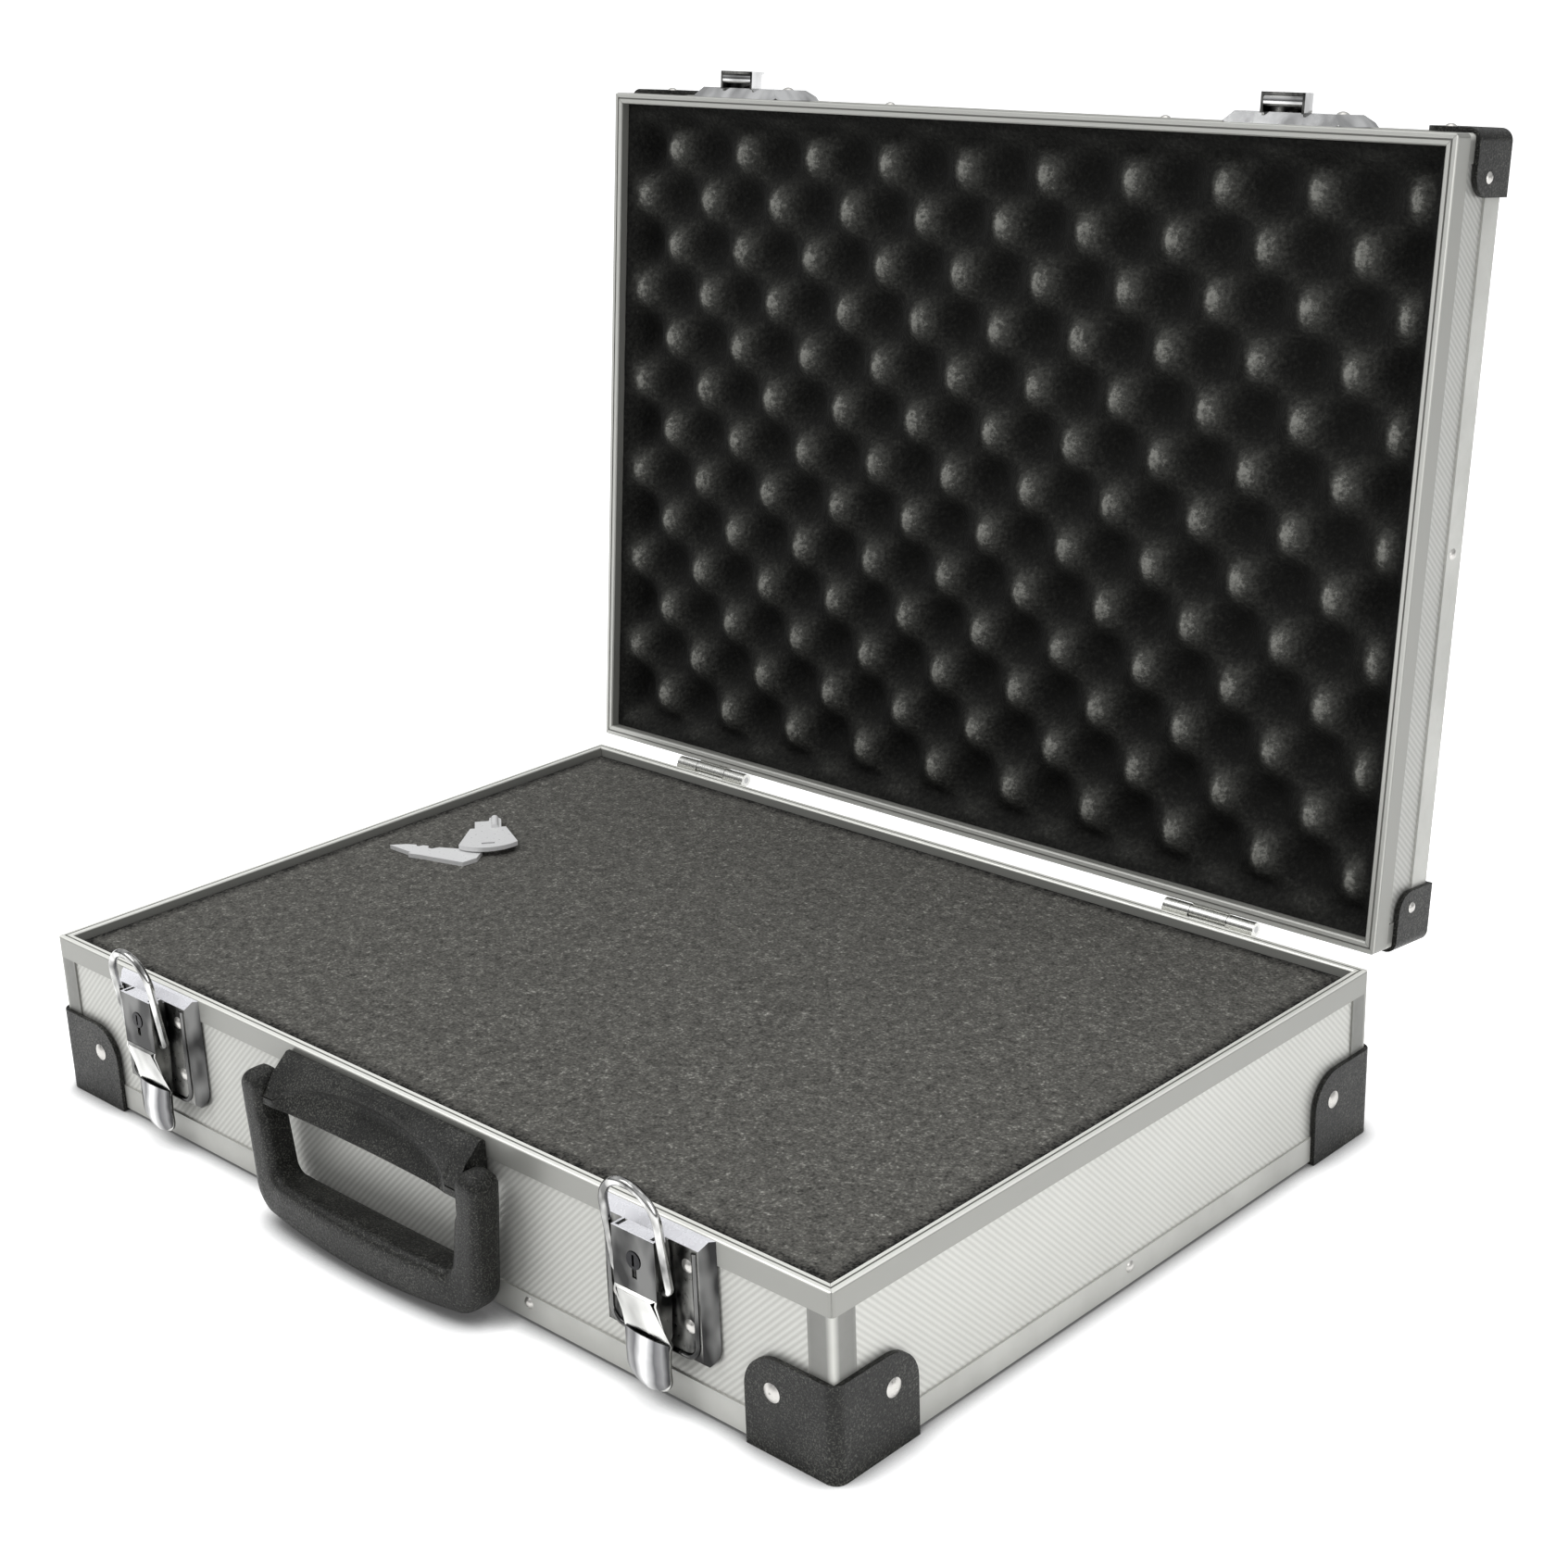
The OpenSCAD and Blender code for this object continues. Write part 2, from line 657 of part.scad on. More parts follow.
module latch_plate() {
  color([0.8, 0.8, 0.82]) difference() {
    union() {
      difference() {
        tray(plate_w, plate_face_w, plate_out, plate_z0, plate_z1, 4, 3.4, plate_corner);
        translate([0, 0.1, 0])
          tray(plate_w - 2 * sheet, plate_face_w - 2 * sheet, plate_out - sheet + 0.1,
            plate_z0 + sheet, plate_z1 - sheet, 4, 3.4, plate_corner - sheet);
      }
      both() translate([ear_x, 0, 0]) latch_ear();
      both() {
        translate([6.2, -8.4, lock_z - 2]) cube([0.8, 8.4 - plate_out + sheet / 2, 4]);
        translate([4, -8.4, lock_z - 2]) cube([3, 0.8, 4]);
      }
    }
    for (s = [-1, 1], z = [plate_rivet_z0, plate_rivet_z1])
      translate([s * plate_rivet_x, -plate_out, z]) rotate([90, 0, 0]) hole(2, 3);
    translate([0, -pin_out, pin_z]) rotate([0, 90, 0]) cylinder(r = pin_r + 0.02, h = 2 * box_w, center = true);
  }
}

module latch_plate_left() { at_latch(-1) latch_plate(); }
module latch_plate_right() { at_latch(1) latch_plate(); }

module latch_plate_rivets() {
  color([0.8, 0.8, 0.82]) place() plate_rivets() rivet(2.6, plate_out + wall_in);
}

module latch_lever_pins() {
  color([0.7, 0.7, 0.72]) for (s = [-1, 1]) at_latch(s)
    translate([0, -pin_out, pin_z]) rotate([0, 90, 0]) cylinder(r = pin_r, h = box_w - 0.4, center = true);
}

module lever_front() {
  half = box_w / 2;
  polygon([
    [-half, lever_z1], [-half, box_z0], [-half + 2.2, box_z0 - 1], [-flare_half, flare_z0],
    [-tab_half, flare_z0 - 2], each arc(tab_r - tab_half, tab_z0 + tab_r, tab_r, 180, 262, 6),
    each arc(tab_half - tab_r, tab_z0 + tab_r, tab_r, 278, 360, 6), [tab_half, flare_z0 - 2],
    [flare_half, flare_z0], [half - 2.2, box_z0 - 1], [half, box_z0], [half, lever_z1]
  ]);
}

module lever() {
  half = box_w / 2;
  side = [
    [-lever_out, lever_z1], [-6.8, lever_z1], [-5.6, 66.5], [-5.4, 64], [-5.4, 48], [-6.2, 31],
    [-8, flare_z0], [-13, box_z0 - 2], [-lever_out, box_z0]
  ];
  color([0.82, 0.82, 0.84]) difference() {
    union() {
      intersection() {
        rotate([90, 0, 90]) linear_extrude(2 * box_w, center = true) polygon([
          [-lever_out, lever_z1], [-lever_out, box_z0], [-lever_out - 1.1, box_z0 - 1], [-8.1, flare_z0],
          [-8.7, flare_z0 - 9], [-8, tab_z0], [-7, tab_z0], [-7.6, flare_z0 - 9], [-7, flare_z0 + 0.3],
          [-lever_out + 1, box_z0 - 1.6], [-lever_out + sheet, lever_z1]
        ]);
        rotate([90, 0, 0]) linear_extrude(2 * lever_out) lever_front();
      }
      for (s = [-1, 1]) translate([s * (half - sheet / 2), 0, 0])
        rotate([90, 0, 90]) linear_extrude(sheet, center = true) polygon(side);
      translate([0.8 - ear_x, -lever_out, lever_z1 - sheet]) cube([2 * ear_x - 1.6, lever_out - 6.8, sheet]);
    }
    translate([0, -pin_out, pin_z]) rotate([0, 90, 0]) cylinder(r = pin_r + run_gap, h = 2 * box_w, center = true);
    translate([0, -bail_out, bail_z]) rotate([0, 90, 0]) cylinder(r = wire_r + run_gap, h = 2 * box_w, center = true);
    translate([0, -lever_out, lock_z]) rotate([90, 0, 0]) cylinder(r = lock_r + run_gap, h = 6, center = true);
    translate([-1.1, -lever_out - 1, lock_z - 7]) cube([2.2, 3, 7]);
  }
}

module latch_lever_left() { at_latch(-1) lever(); }
module latch_lever_right() { at_latch(1) lever(); }

module bail() {
  bend = 2.5;
  color([0.82, 0.82, 0.84]) translate([0, -bail_out, bail_z]) rotate([bail_lean, 0, 0]) {
    translate([0, 0, bail_len - bail_half]) rotate([90, 0, 0])
      rotate_extrude(angle = 180) translate([bail_half, 0]) circle(r = wire_r, $fn = 24);
    both() {
      translate([bail_half, 0, bend]) cylinder(r = wire_r, h = bail_len - bail_half - bend, $fn = 24);
      translate([bail_half - bend, 0, bend]) rotate([90, 0, 0]) rotate([0, 0, -90])
        rotate_extrude(angle = 90) translate([bend, 0]) circle(r = wire_r, $fn = 24);
      translate([bail_end, 0, 0]) rotate([0, 90, 0]) cylinder(r = wire_r, h = bail_half - bend - bail_end, $fn = 48);
    }
  }
}

module latch_bail_left() { at_latch(-1) bail(); }
module latch_bail_right() { at_latch(1) bail(); }

module lock() {
  color([0.45, 0.45, 0.46]) translate([0, 0, lock_z]) rotate([90, 0, 0]) {
    difference() {
      translate([0, 0, 7.2]) cylinder(r = lock_r, h = lever_out + 0.3 - 7.2);
      translate([-0.5, -2.2, lever_out - 1.5]) cube([1, 4.4, 3]);
    }
    translate([-1.5, -5.1, 6.3]) cube([3, 10.2, 1]);
  }
}

module lock_cylinder_left() { at_latch(-1) lock(); }
module lock_cylinder_right() { at_latch(1) lock(); }

// Hinges

module knuckle(x0, x1) {
  translate([x0, hinge_y, hinge_up]) rotate([0, 90, 0]) cylinder(r = knuckle_r, h = x1 - x0);
}

module hinge_bore(r) {
  translate([0, hinge_y, hinge_up]) rotate([0, 90, 0]) cylinder(r = r, h = 2 * hinge_w, center = true);
}

// Drawn around x = 0 with heights measured from the rim
module base_leaf() {
  half = hinge_w / 2;
  mid = knuckle_mid / 2 + knuckle_gap;
  color([0.72, 0.72, 0.7]) difference() {
    union() {
      translate([-half, case_d, -leaf_h]) cube([hinge_w, leaf_t, leaf_h - 2.4]);
      for (s = [0, 1]) mirror([s, 0, 0]) {
        translate([mid, case_d, -4]) cube([half - mid, leaf_t, 4 + hinge_up]);
        knuckle(mid, half);
      }
    }
    hinge_bore(hinge_pin_r);
    for (s = [-1, 1])
      translate([s * leaf_rivet_x, case_d + leaf_t, -leaf_rivet_z]) rotate([-90, 0, 0]) hole(1, 3);
  }
}

module lid_leaf() {
  half = hinge_w / 2;
  mid = knuckle_mid / 2;
  color([0.72, 0.72, 0.7]) difference() {
    union() {
      translate([-half, case_d, 4.4]) cube([hinge_w, leaf_t, leaf_h - 4.4]);
      translate([-mid, case_d, hinge_up]) cube([2 * mid, leaf_t, 5]);
      knuckle(-mid, mid);
    }
    hinge_bore(hinge_pin_r + run_gap);
    for (s = [-1, 1])
      translate([s * leaf_rivet_x, case_d + leaf_t, leaf_rivet_z]) rotate([-90, 0, 0]) hole(1, 3);
  }
}

module hinge_base_leaf_left() { place() translate([-hinge_x, 0, rim_z]) base_leaf(); }
module hinge_base_leaf_right() { place() translate([hinge_x, 0, rim_z]) base_leaf(); }
module hinge_lid_leaf_left() { lid_place() translate([-hinge_x, 0, 0]) lid_leaf(); }
module hinge_lid_leaf_right() { lid_place() translate([hinge_x, 0, 0]) lid_leaf(); }

module hinge_pins() {
  color([0.6, 0.6, 0.6]) place() both() translate([hinge_x - hinge_w / 2, hinge_y, hinge_z])
    rotate([0, 90, 0]) cylinder(r = hinge_pin_r, h = hinge_w);
}

module hinge_base_rivets() {
  color([0.8, 0.8, 0.8]) place() leaf_rivets(leaf_t, rim_z - leaf_rivet_z) rivet(small_head_r, leaf_t + wall_in);
}

module hinge_lid_rivets() {
  color([0.8, 0.8, 0.8]) lid_place() leaf_rivets(leaf_t, leaf_rivet_z) rivet(small_head_r, leaf_t + wall_in);
}

// Keys on the base foam

module key_plate() {
  linear_extrude(key_t) polygon([
    [0, 3.4], [6, 7.4], [11, 9.2], [12, 8], [13.4, 8], [14.4, 9.8], [17.4, 10.2], [18.4, 8.2], [20.8, 8.2],
    [key_blade - 3, 11], [key_blade + 4, 13], [key_blade + 18, 16], [key_blade + 21, 8],
    [key_blade + 18.6, 0.6], [key_blade - 6, -0.6], [14.5, -1.4], [14.5, 0.4]
  ]);
}

module key_fan() {
  linear_extrude(key_t) difference() {
    polygon([
      [-1, -13.6], each arc(-12, 0, 17.6, -50, 50, 12), [-1, 13.6], [-24, 8.4], [-24, 6.2], [-36, 6.2], [-39, 4.6],
      [-39, 0.8], [-34, 0.4], [-34, -6.2], [-24, -6.2], [-24, -8.4]
    ]);
    translate([-1, 0]) square([2, 6], center = true);
  }
  translate([-37, 3.2, key_t]) rotate([0, 90, 0]) cylinder(r = 1.8, h = 14);
}

module key_lower() {
  color([0.8, 0.8, 0.8]) place() translate([27 - case_w / 2, 156.5, foam_top]) rotate([0, 0, 12.5]) key_plate();
}

module key_upper() {
  tilt = atan(key_t / 44);
  color([0.82, 0.82, 0.82]) place() translate([66.5 - case_w / 2, 185.5, foam_top + key_t + 0.45])
    rotate([0, 0, -40]) rotate([0, -tilt, 0]) key_fan();
}

// Lid, drawn shut with heights measured from the base rim and turned open by lid_place

module lid_rim_frame() {
  color([0.75, 0.75, 0.73]) lid_place() translate([0, 0, rim_gap]) mirror([0, 0, 1]) rim_run();
}

module lid_corner_posts() {
  color([0.75, 0.75, 0.73]) lid_place() for (i = [0:3]) corner(i)
    post(band_h + rim_gap, lid_h - lid_rail_h);
}

module lid_top_rails() {
  color([0.75, 0.75, 0.73]) lid_place() difference() {
    translate([0, 0, lid_h]) mirror([0, 0, 1]) rail_run(lid_rail_h);
    rail_rivets(lid_rail_rivet_z) hole(1, 6);
  }
}

module lid_wall(i) {
  lo = rim_gap + board_top;
  hi = lid_h - skin - board_t;
  color([0.7, 0.7, 0.68]) lid_place() difference() {
    if (i < 2) long_board(i, lo, hi);
    else short_board(i, lo, hi);
    lid_holes();
  }
}

module lid_front_panel() { lid_wall(0); }
module lid_back_panel() { lid_wall(1); }
module lid_left_panel() { lid_wall(2); }
module lid_right_panel() { lid_wall(3); }

module lid_top_panel() {
  color([0.7, 0.7, 0.68]) lid_place() flat_board(lid_h - skin - board_t);
}

function bump(x, y) = bump_drop + bump_h
  * (1 - cos(360 * (x - bump_x) / bump_pitch) * cos(180 * (y - bump_y) / bump_row)) / 2;

// Egg-crate foam: a flat back on the lid board and a grid of bumps towards the rim
module lid_foam() {
  w = case_w - 2 * foam_in;
  d = case_d - 2 * foam_in;
  nx = ceil(w / (bump_pitch / 3.6));
  ny = ceil(d / (bump_row / 2));
  flat = lid_h - skin - board_t;
  px = [for (i = [0:nx]) i * w / nx - w / 2];
  py = [for (j = [0:ny]) foam_in + j * d / ny];
  tips = [for (j = [0:ny], i = [0:nx]) [px[i], py[j], bump(px[i], py[j])]];
  rim = [
    for (i = [0:nx - 1]) i, for (j = [0:ny - 1]) j * (nx + 1) + nx,
    for (i = [nx:-1:1]) ny * (nx + 1) + i, for (j = [ny:-1:1]) j * (nx + 1)
  ];
  n = len(rim);
  first = len(tips);
  backs = [for (k = rim) [tips[k][0], tips[k][1], flat]];
  cells = [for (j = [0:ny - 1], i = [0:nx - 1], k = [0:1])
    let (a = j * (nx + 1) + i, b = a + 1, c = a + nx + 2, e = a + nx + 1)
      (i + j) % 2 == 0 ? (k == 0 ? [a, b, c] : [a, c, e]) : (k == 0 ? [a, b, e] : [b, c, e])];
  sides = [for (k = [0:n - 1]) [rim[(k + 1) % n], rim[k], first + k, first + (k + 1) % n]];
  fan = [for (k = [0:n - 1]) [first + (k + 1) % n, first + k, first + n]];
  color([0.16, 0.16, 0.15]) lid_place() polyhedron(
    points = concat(tips, backs, [[0, case_d / 2, flat]]), faces = concat(cells, sides, fan), convexity = 6);
}

module lid_guard(i) {
  color([0.2, 0.2, 0.2]) lid_place() translate([0, 0, lid_h]) mirror([0, 0, 1]) corner(i)
    protector(lid_guard_leg, lid_guard_h, lid_guard_arc, lid_guard_cap, lid_rivet_in, lid_h - lid_rivet_z);
}

module lid_protector_front_left() { lid_guard(0); }
module lid_protector_front_right() { lid_guard(1); }
module lid_protector_back_left() { lid_guard(2); }
module lid_protector_back_right() { lid_guard(3); }

module lid_protector_rivets() {
  color([0.8, 0.8, 0.8]) lid_place() guard_rivets(lid_rivet_in, lid_rivet_z, guard_t)
    rivet(small_head_r, guard_t + wall_in);
}

module lid_rail_rivets() {
  color([0.8, 0.8, 0.8]) lid_place() rail_rivets(lid_rail_rivet_z) rivet(small_head_r, wall_in);
}

// Strikes on the lid

module hook_outline(r, half, lo) {
  c = bail_z + bail_len * cos(bail_lean) - bail_half - rim_z - 0.2;
  intersection() {
    translate([-half, lo]) square([2 * half, 40]);
    union() {
      translate([0, c]) circle(r = r, $fn = 96);
      translate([-half, lo]) square([2 * half, c - lo]);
    }
  }
}

module strike() {
  saddle = bail_half - wire_r - 0.4;
  color([0.82, 0.82, 0.84]) difference() {
    union() {
      difference() {
        tray(strike_w, strike_face_w, strike_out, strike_z0, strike_z1, 3, 4.6, 2);
        translate([0, 0.1, 0])
          tray(strike_w - 2 * sheet, strike_face_w - 2 * sheet, strike_out - sheet + 0.1,
            strike_z0 + sheet, strike_z1 - sheet, 3, 4.6, 1);
      }
      translate([0, -strike_out + 0.5, 0]) rotate([90, 0, 0])
        linear_extrude(hook_out - strike_out + 0.5) difference() {
          hook_outline(saddle, hook_half, hook_z0);
          hook_outline(saddle - hook_t, hook_half - hook_t, hook_z0 - 1);
        }
      translate([0, -hook_out + hook_t, 0]) rotate([90, 0, 0]) linear_extrude(hook_t) {
        hook_outline(saddle, hook_half, hook_z0);
        intersection() {
          hook_outline(saddle + hook_lip, hook_half, hook_z0);
          translate([-7, hook_z0]) square([14, 30]);
        }
      }
    }
    for (s = [-1, 1])
      translate([s * strike_rivet_x, -strike_out, strike_rivet_z1]) rotate([90, 0, 0]) hole(2, 3);
    translate([0, -strike_out, strike_rivet_z0]) rotate([90, 0, 0]) hole(2, 3);
  }
}

module strike_left() { lid_place() translate([-latch_x, 0, 0]) strike(); }
module strike_right() { lid_place() translate([latch_x, 0, 0]) strike(); }

module strike_rivets() {
  color([0.8, 0.8, 0.82]) lid_place() strike_rivets_at() rivet(2.6, strike_out + wall_in);
}

base_rim_frame();
base_corner_posts();
base_bottom_rails();
base_front_panel();
base_back_panel();
base_left_panel();
base_right_panel();
base_bottom_panel();
base_foam();
base_protector_front_left();
base_protector_front_right();
base_protector_back_left();
base_protector_back_right();
base_protector_rivets();
base_rail_rivets();
handle_bracket();
handle_screws();
handle_grip();
handle_pivots();
latch_plate_left();
latch_plate_right();
latch_plate_rivets();
latch_lever_pins();
latch_lever_left();
latch_lever_right();
latch_bail_left();
latch_bail_right();
lock_cylinder_left();
lock_cylinder_right();
hinge_base_leaf_left();
hinge_base_leaf_right();
hinge_lid_leaf_left();
hinge_lid_leaf_right();
hinge_pins();
hinge_base_rivets();
hinge_lid_rivets();
key_lower();
key_upper();
lid_rim_frame();
lid_corner_posts();
lid_top_rails();
lid_front_panel();
lid_back_panel();
lid_left_panel();
lid_right_panel();
lid_top_panel();
lid_foam();
lid_protector_front_left();
lid_protector_front_right();
lid_protector_back_left();
lid_protector_back_right();
lid_protector_rivets();
lid_rail_rivets();
strike_left();
strike_right();
strike_rivets();
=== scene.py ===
import json
import math
import bmesh
import bpy
from mathutils import Matrix, Vector, noise

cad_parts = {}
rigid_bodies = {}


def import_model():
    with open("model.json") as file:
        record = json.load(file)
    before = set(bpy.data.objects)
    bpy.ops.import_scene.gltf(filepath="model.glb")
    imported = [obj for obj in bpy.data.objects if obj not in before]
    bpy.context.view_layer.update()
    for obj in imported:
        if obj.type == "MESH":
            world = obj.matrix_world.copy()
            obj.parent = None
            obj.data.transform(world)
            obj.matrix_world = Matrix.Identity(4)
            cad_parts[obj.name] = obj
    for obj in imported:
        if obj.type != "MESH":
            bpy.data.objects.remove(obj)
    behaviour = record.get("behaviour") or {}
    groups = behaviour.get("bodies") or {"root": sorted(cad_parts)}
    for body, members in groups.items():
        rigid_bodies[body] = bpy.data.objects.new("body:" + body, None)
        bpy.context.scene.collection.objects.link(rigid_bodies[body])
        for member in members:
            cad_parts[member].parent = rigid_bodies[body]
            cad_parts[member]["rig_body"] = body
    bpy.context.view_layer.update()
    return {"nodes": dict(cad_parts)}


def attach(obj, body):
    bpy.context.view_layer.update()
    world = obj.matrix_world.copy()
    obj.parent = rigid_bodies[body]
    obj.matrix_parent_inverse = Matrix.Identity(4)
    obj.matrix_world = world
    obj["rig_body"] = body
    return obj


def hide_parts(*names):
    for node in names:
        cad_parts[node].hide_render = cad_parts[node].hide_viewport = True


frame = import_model()
scene = bpy.context.scene
scene.view_settings.view_transform = "Standard"

MM = 0.001

# Case and hinges, as in the CAD: x from the middle, y from the front wall, z from the ground
WIDTH, DEPTH = 450 * MM, 318 * MM
RIM_Z, LID_H, FOOT = 71.1 * MM, 36.5 * MM, 1.0 * MM
HINGE_OUT, HINGE_UP, LID_OPEN = 3.6 * MM, 1.1 * MM, math.radians(95.7)
GUARD_T, LID_CAP = 2 * MM, 1.6 * MM
LATCH_X = 147 * MM

# Handle: its depth in front of the wall, its pivots, its lower edge, its window and the pads on its legs
GRIP_FRONT, GRIP_BOW, GRIP_BACK = 17.5 * MM, 4 * MM, 4 * MM
GRIP_HALF, GRIP_Z, GRIP_Z0, LEG_W = 70.5 * MM, 57 * MM, 1 * MM, 12.6 * MM
EDGE_R, EDGE_HALF = 470 * MM, 53 * MM
CORNER_X, CORNER_UP, CORNER_R = 54 * MM, 16 * MM, 13.1 * MM
WINDOW_X, WINDOW_Z, WINDOW_R = 48.5 * MM, 20.5 * MM, 5 * MM
PAD_IN, PAD_LOW, PAD_TOP = 1.6 * MM, 14 * MM, 11 * MM
BOW_FADE_Z, BOW_FADE = 8 * MM, 22 * MM

# Handle bracket: outwards and up, at its ends, and how far the arch moves them in the middle
BRACKET_HALF, BRACKET_Z0, BRACKET_Z1 = 57.6 * MM, 50.5 * MM, 69 * MM
BRACKET_BACK, BRACKET_ROOF, BRACKET_SKIRT = -0.05 * MM, -2.6 * MM, 1.5 * MM
RIDGE_Y, RIDGE_Z, ARCH_IN, ARCH_UP = -15.4 * MM, 55.0 * MM, 7.2 * MM, 11 * MM
LIP_Y, LIP_Z, LIP_IN, LIP_UP = -15.7 * MM, 51.6 * MM, 1.6 * MM, 0.6 * MM
ARCH_HALF, SCOOP_DEPTH = 51 * MM, 3.2 * MM

# Finger tab on the lever, bead on the latch plate and nose of the strike
TAB_Z0, TAB_Z1, TAB_HALF, TAB_ROUND = 7.8 * MM, 28.4 * MM, 10.6 * MM, 8 * MM
TAB_Y, TAB_DOME, TAB_SHEET = -8.75 * MM, 2.6 * MM, 0.5 * MM
BEAD_X, BEAD_Y, BEAD_Z0, BEAD_Z1, BEAD_R = 21 * MM, -4.7 * MM, 33 * MM, 66 * MM, 1.1 * MM
BEAD_TURN_X, BEAD_TURN_Z, BEAD_TURN_R = 15 * MM, 31 * MM, 6 * MM
NOSE_HALF = 9.5 * MM
NOSE = ((-6.9, 5.4), (-6.6, 4.6), (-6.9, 3.9), (-7.6, 3.55), (-8.8, 3.5), (-10.0, 3.55), (-10.9, 3.9),
        (-11.5, 4.5), (-11.85, 5.3), (-11.95, 6.2), (-11.0, 6.6), (-8.6, 6.2))

# Borders between the zones of painted light, shade and reflection on the pressed parts
LEVER_TOP_Z, FLARE_Z = 68.4 * MM, 46.6 * MM
PLATE_TOP_Z, PLATE_FOOT_Z, PLATE_SIDE_X = 66.5 * MM, 24 * MM, 22.6 * MM
HOOD_Y, SLOT_X, SLOT_Y, STRIKE_SIDE_X = -4.7 * MM, 8.9 * MM, -11.2 * MM, -10 * MM
NOSE_TIP_Y, NOSE_BACK_Y = -10.4 * MM, -8.2 * MM

# Foam blocks
FOAM_IN, FOAM_DOWN, FOAM_GAP, FOAM_ROUND = 5.2 * MM, 3 * MM, 4.1 * MM, 3 * MM
BUMP_PITCH, BUMP_ROW, BUMP_X, BUMP_Y = 44 * MM, 22.2 * MM, -13 * MM, 25 * MM
BUMP_H, BUMP_DROP, LID_EDGE, LID_EDGE_DROP = 15 * MM, 4 * MM, 9 * MM, 0.6 * MM
RIB_PITCH = 2.1 * MM

# Rounding of the pressed and moulded CAD pieces
MERGE, ROUND_SEGMENTS, KEEP_ANGLE = 0.002 * MM, 2, 35
GUARD_ROUND, PLATE_ROUND, LEVER_ROUND, STRIKE_ROUND = 0.5 * MM, 0.35 * MM, 0.3 * MM, 0.3 * MM

# Camera fitted to the photo: turn, height and roll, its place from the front left corner, and its lens
CAM_AZ, CAM_EL, CAM_ROLL = math.radians(44.09), math.radians(19.94), math.radians(-2.10)
CAM_X, CAM_Y, CAM_Z, CAM_LENS = 0.92655, -0.50477, 0.49346, 58.31

# Floor and sky: the sky's stops are height and brightness
FLOOR_HALF, FLOOR_WHITE, FLOOR_GLOW = 40.0, 0.86, 0.62
SHADOW_REACH, SHADOW_START, SHADOW_DARK = 0.013, 0.4, 0.12
SKY = ((0.0, 0.12), (0.12, 0.22), (0.35, 0.8), (0.8, 1.0))
SKY_STRENGTH = 0.75
LAMP_AIM = (0, 0, 0.1)

# Where the case stands and how the open lid is turned
HINGE_Y = DEPTH + HINGE_OUT
Y_BACK = (HINGE_Y - (GUARD_T + HINGE_Y) * math.cos(LID_OPEN)
          + (LID_H + LID_CAP - HINGE_UP) * math.sin(LID_OPEN))
Y_MID = (Y_BACK - GRIP_FRONT - GRIP_BOW) / 2
PLACE = Matrix.Translation((0, -Y_MID, 0))
LID_PLACE = (PLACE @ Matrix.Translation((0, HINGE_Y, RIM_Z + HINGE_UP))
             @ Matrix.Rotation(-LID_OPEN, 4, "X") @ Matrix.Translation((0, -HINGE_Y, -HINGE_UP)))
LID_ORIGIN = LID_PLACE @ Vector((0, 0, 0))
LID_UP = (LID_PLACE.to_3x3() @ Vector((0, 0, 1))).normalized()

# Outline of both foam blocks and their levels
FOAM_X0, FOAM_X1 = -WIDTH / 2 + FOAM_IN, WIDTH / 2 - FOAM_IN
FOAM_Y0, FOAM_Y1 = FOAM_IN, DEPTH - FOAM_IN
FOAM_TOP, FOAM_LOW = RIM_Z - FOAM_DOWN, FOOT + FOAM_GAP
LID_BACK = LID_H - FOAM_GAP


# Materials

def srgb(r, g, b):
    """A colour as it looks on screen, 0 to 255, in the linear values that shaders take."""
    def linear(c):
        c = c / 255
        return c / 12.92 if c <= 0.04045 else ((c + 0.055) / 1.055) ** 2.4
    return (linear(r), linear(g), linear(b), 1)


class Nodes:
    """A node tree, with a short call for each kind of node that several materials use."""

    def __init__(self, tree):
        self.tree = tree

    def new(self, kind, **props):
        node = self.tree.nodes.new(kind)
        for key, value in props.items():
            setattr(node, key, value)
        return node

    def link(self, a, b):
        self.tree.links.new(a, b)

    def split(self, vec):
        node = self.new("ShaderNodeSeparateXYZ")
        self.link(vec, node.inputs[0])
        return node.outputs

    def dot(self, vec, axis):
        node = self.new("ShaderNodeVectorMath", operation="DOT_PRODUCT")
        self.link(vec, node.inputs[0])
        node.inputs[1].default_value = axis
        return node.outputs["Value"]

    def noise(self, vec, scale, detail=3, rough=0.55):
        node = self.new("ShaderNodeTexNoise")
        node.inputs["Scale"].default_value = scale
        node.inputs["Detail"].default_value = detail
        node.inputs["Roughness"].default_value = rough
        self.link(vec, node.inputs["Vector"])
        return node.outputs["Fac"]

    def cells(self, vec, scale):
        node = self.new("ShaderNodeTexVoronoi", feature="F1")
        node.inputs["Scale"].default_value = scale
        self.link(vec, node.inputs["Vector"])
        return node.outputs["Distance"]

    def ramp(self, fac, stops):
        node = self.new("ShaderNodeValToRGB")
        elements = node.color_ramp.elements
        while len(elements) < len(stops):
            elements.new(0.5)
        for element, (position, color) in zip(elements, stops):
            element.position = position
            element.color = color
        self.link(fac, node.inputs["Fac"])
        return node.outputs["Color"]

    def remap(self, fac, from_min, from_max, to_min, to_max):
        node = self.new("ShaderNodeMapRange")
        for i, value in enumerate((from_min, from_max, to_min, to_max)):
            node.inputs[i + 1].default_value = value
        self.link(fac, node.inputs["Value"])
        return node.outputs["Result"]

    def math(self, op, *values):
        node = self.new("ShaderNodeMath", operation=op)
        for i, value in enumerate(values):
            if isinstance(value, (int, float)):
                node.inputs[i].default_value = value
            else:
                self.link(value, node.inputs[i])
        return node.outputs["Value"]

    def drift(self, fac, size):
        """A value from 0 to 1 as a change to both sides of nothing."""
        return self.math("MULTIPLY", self.math("SUBTRACT", fac, 0.5), size)


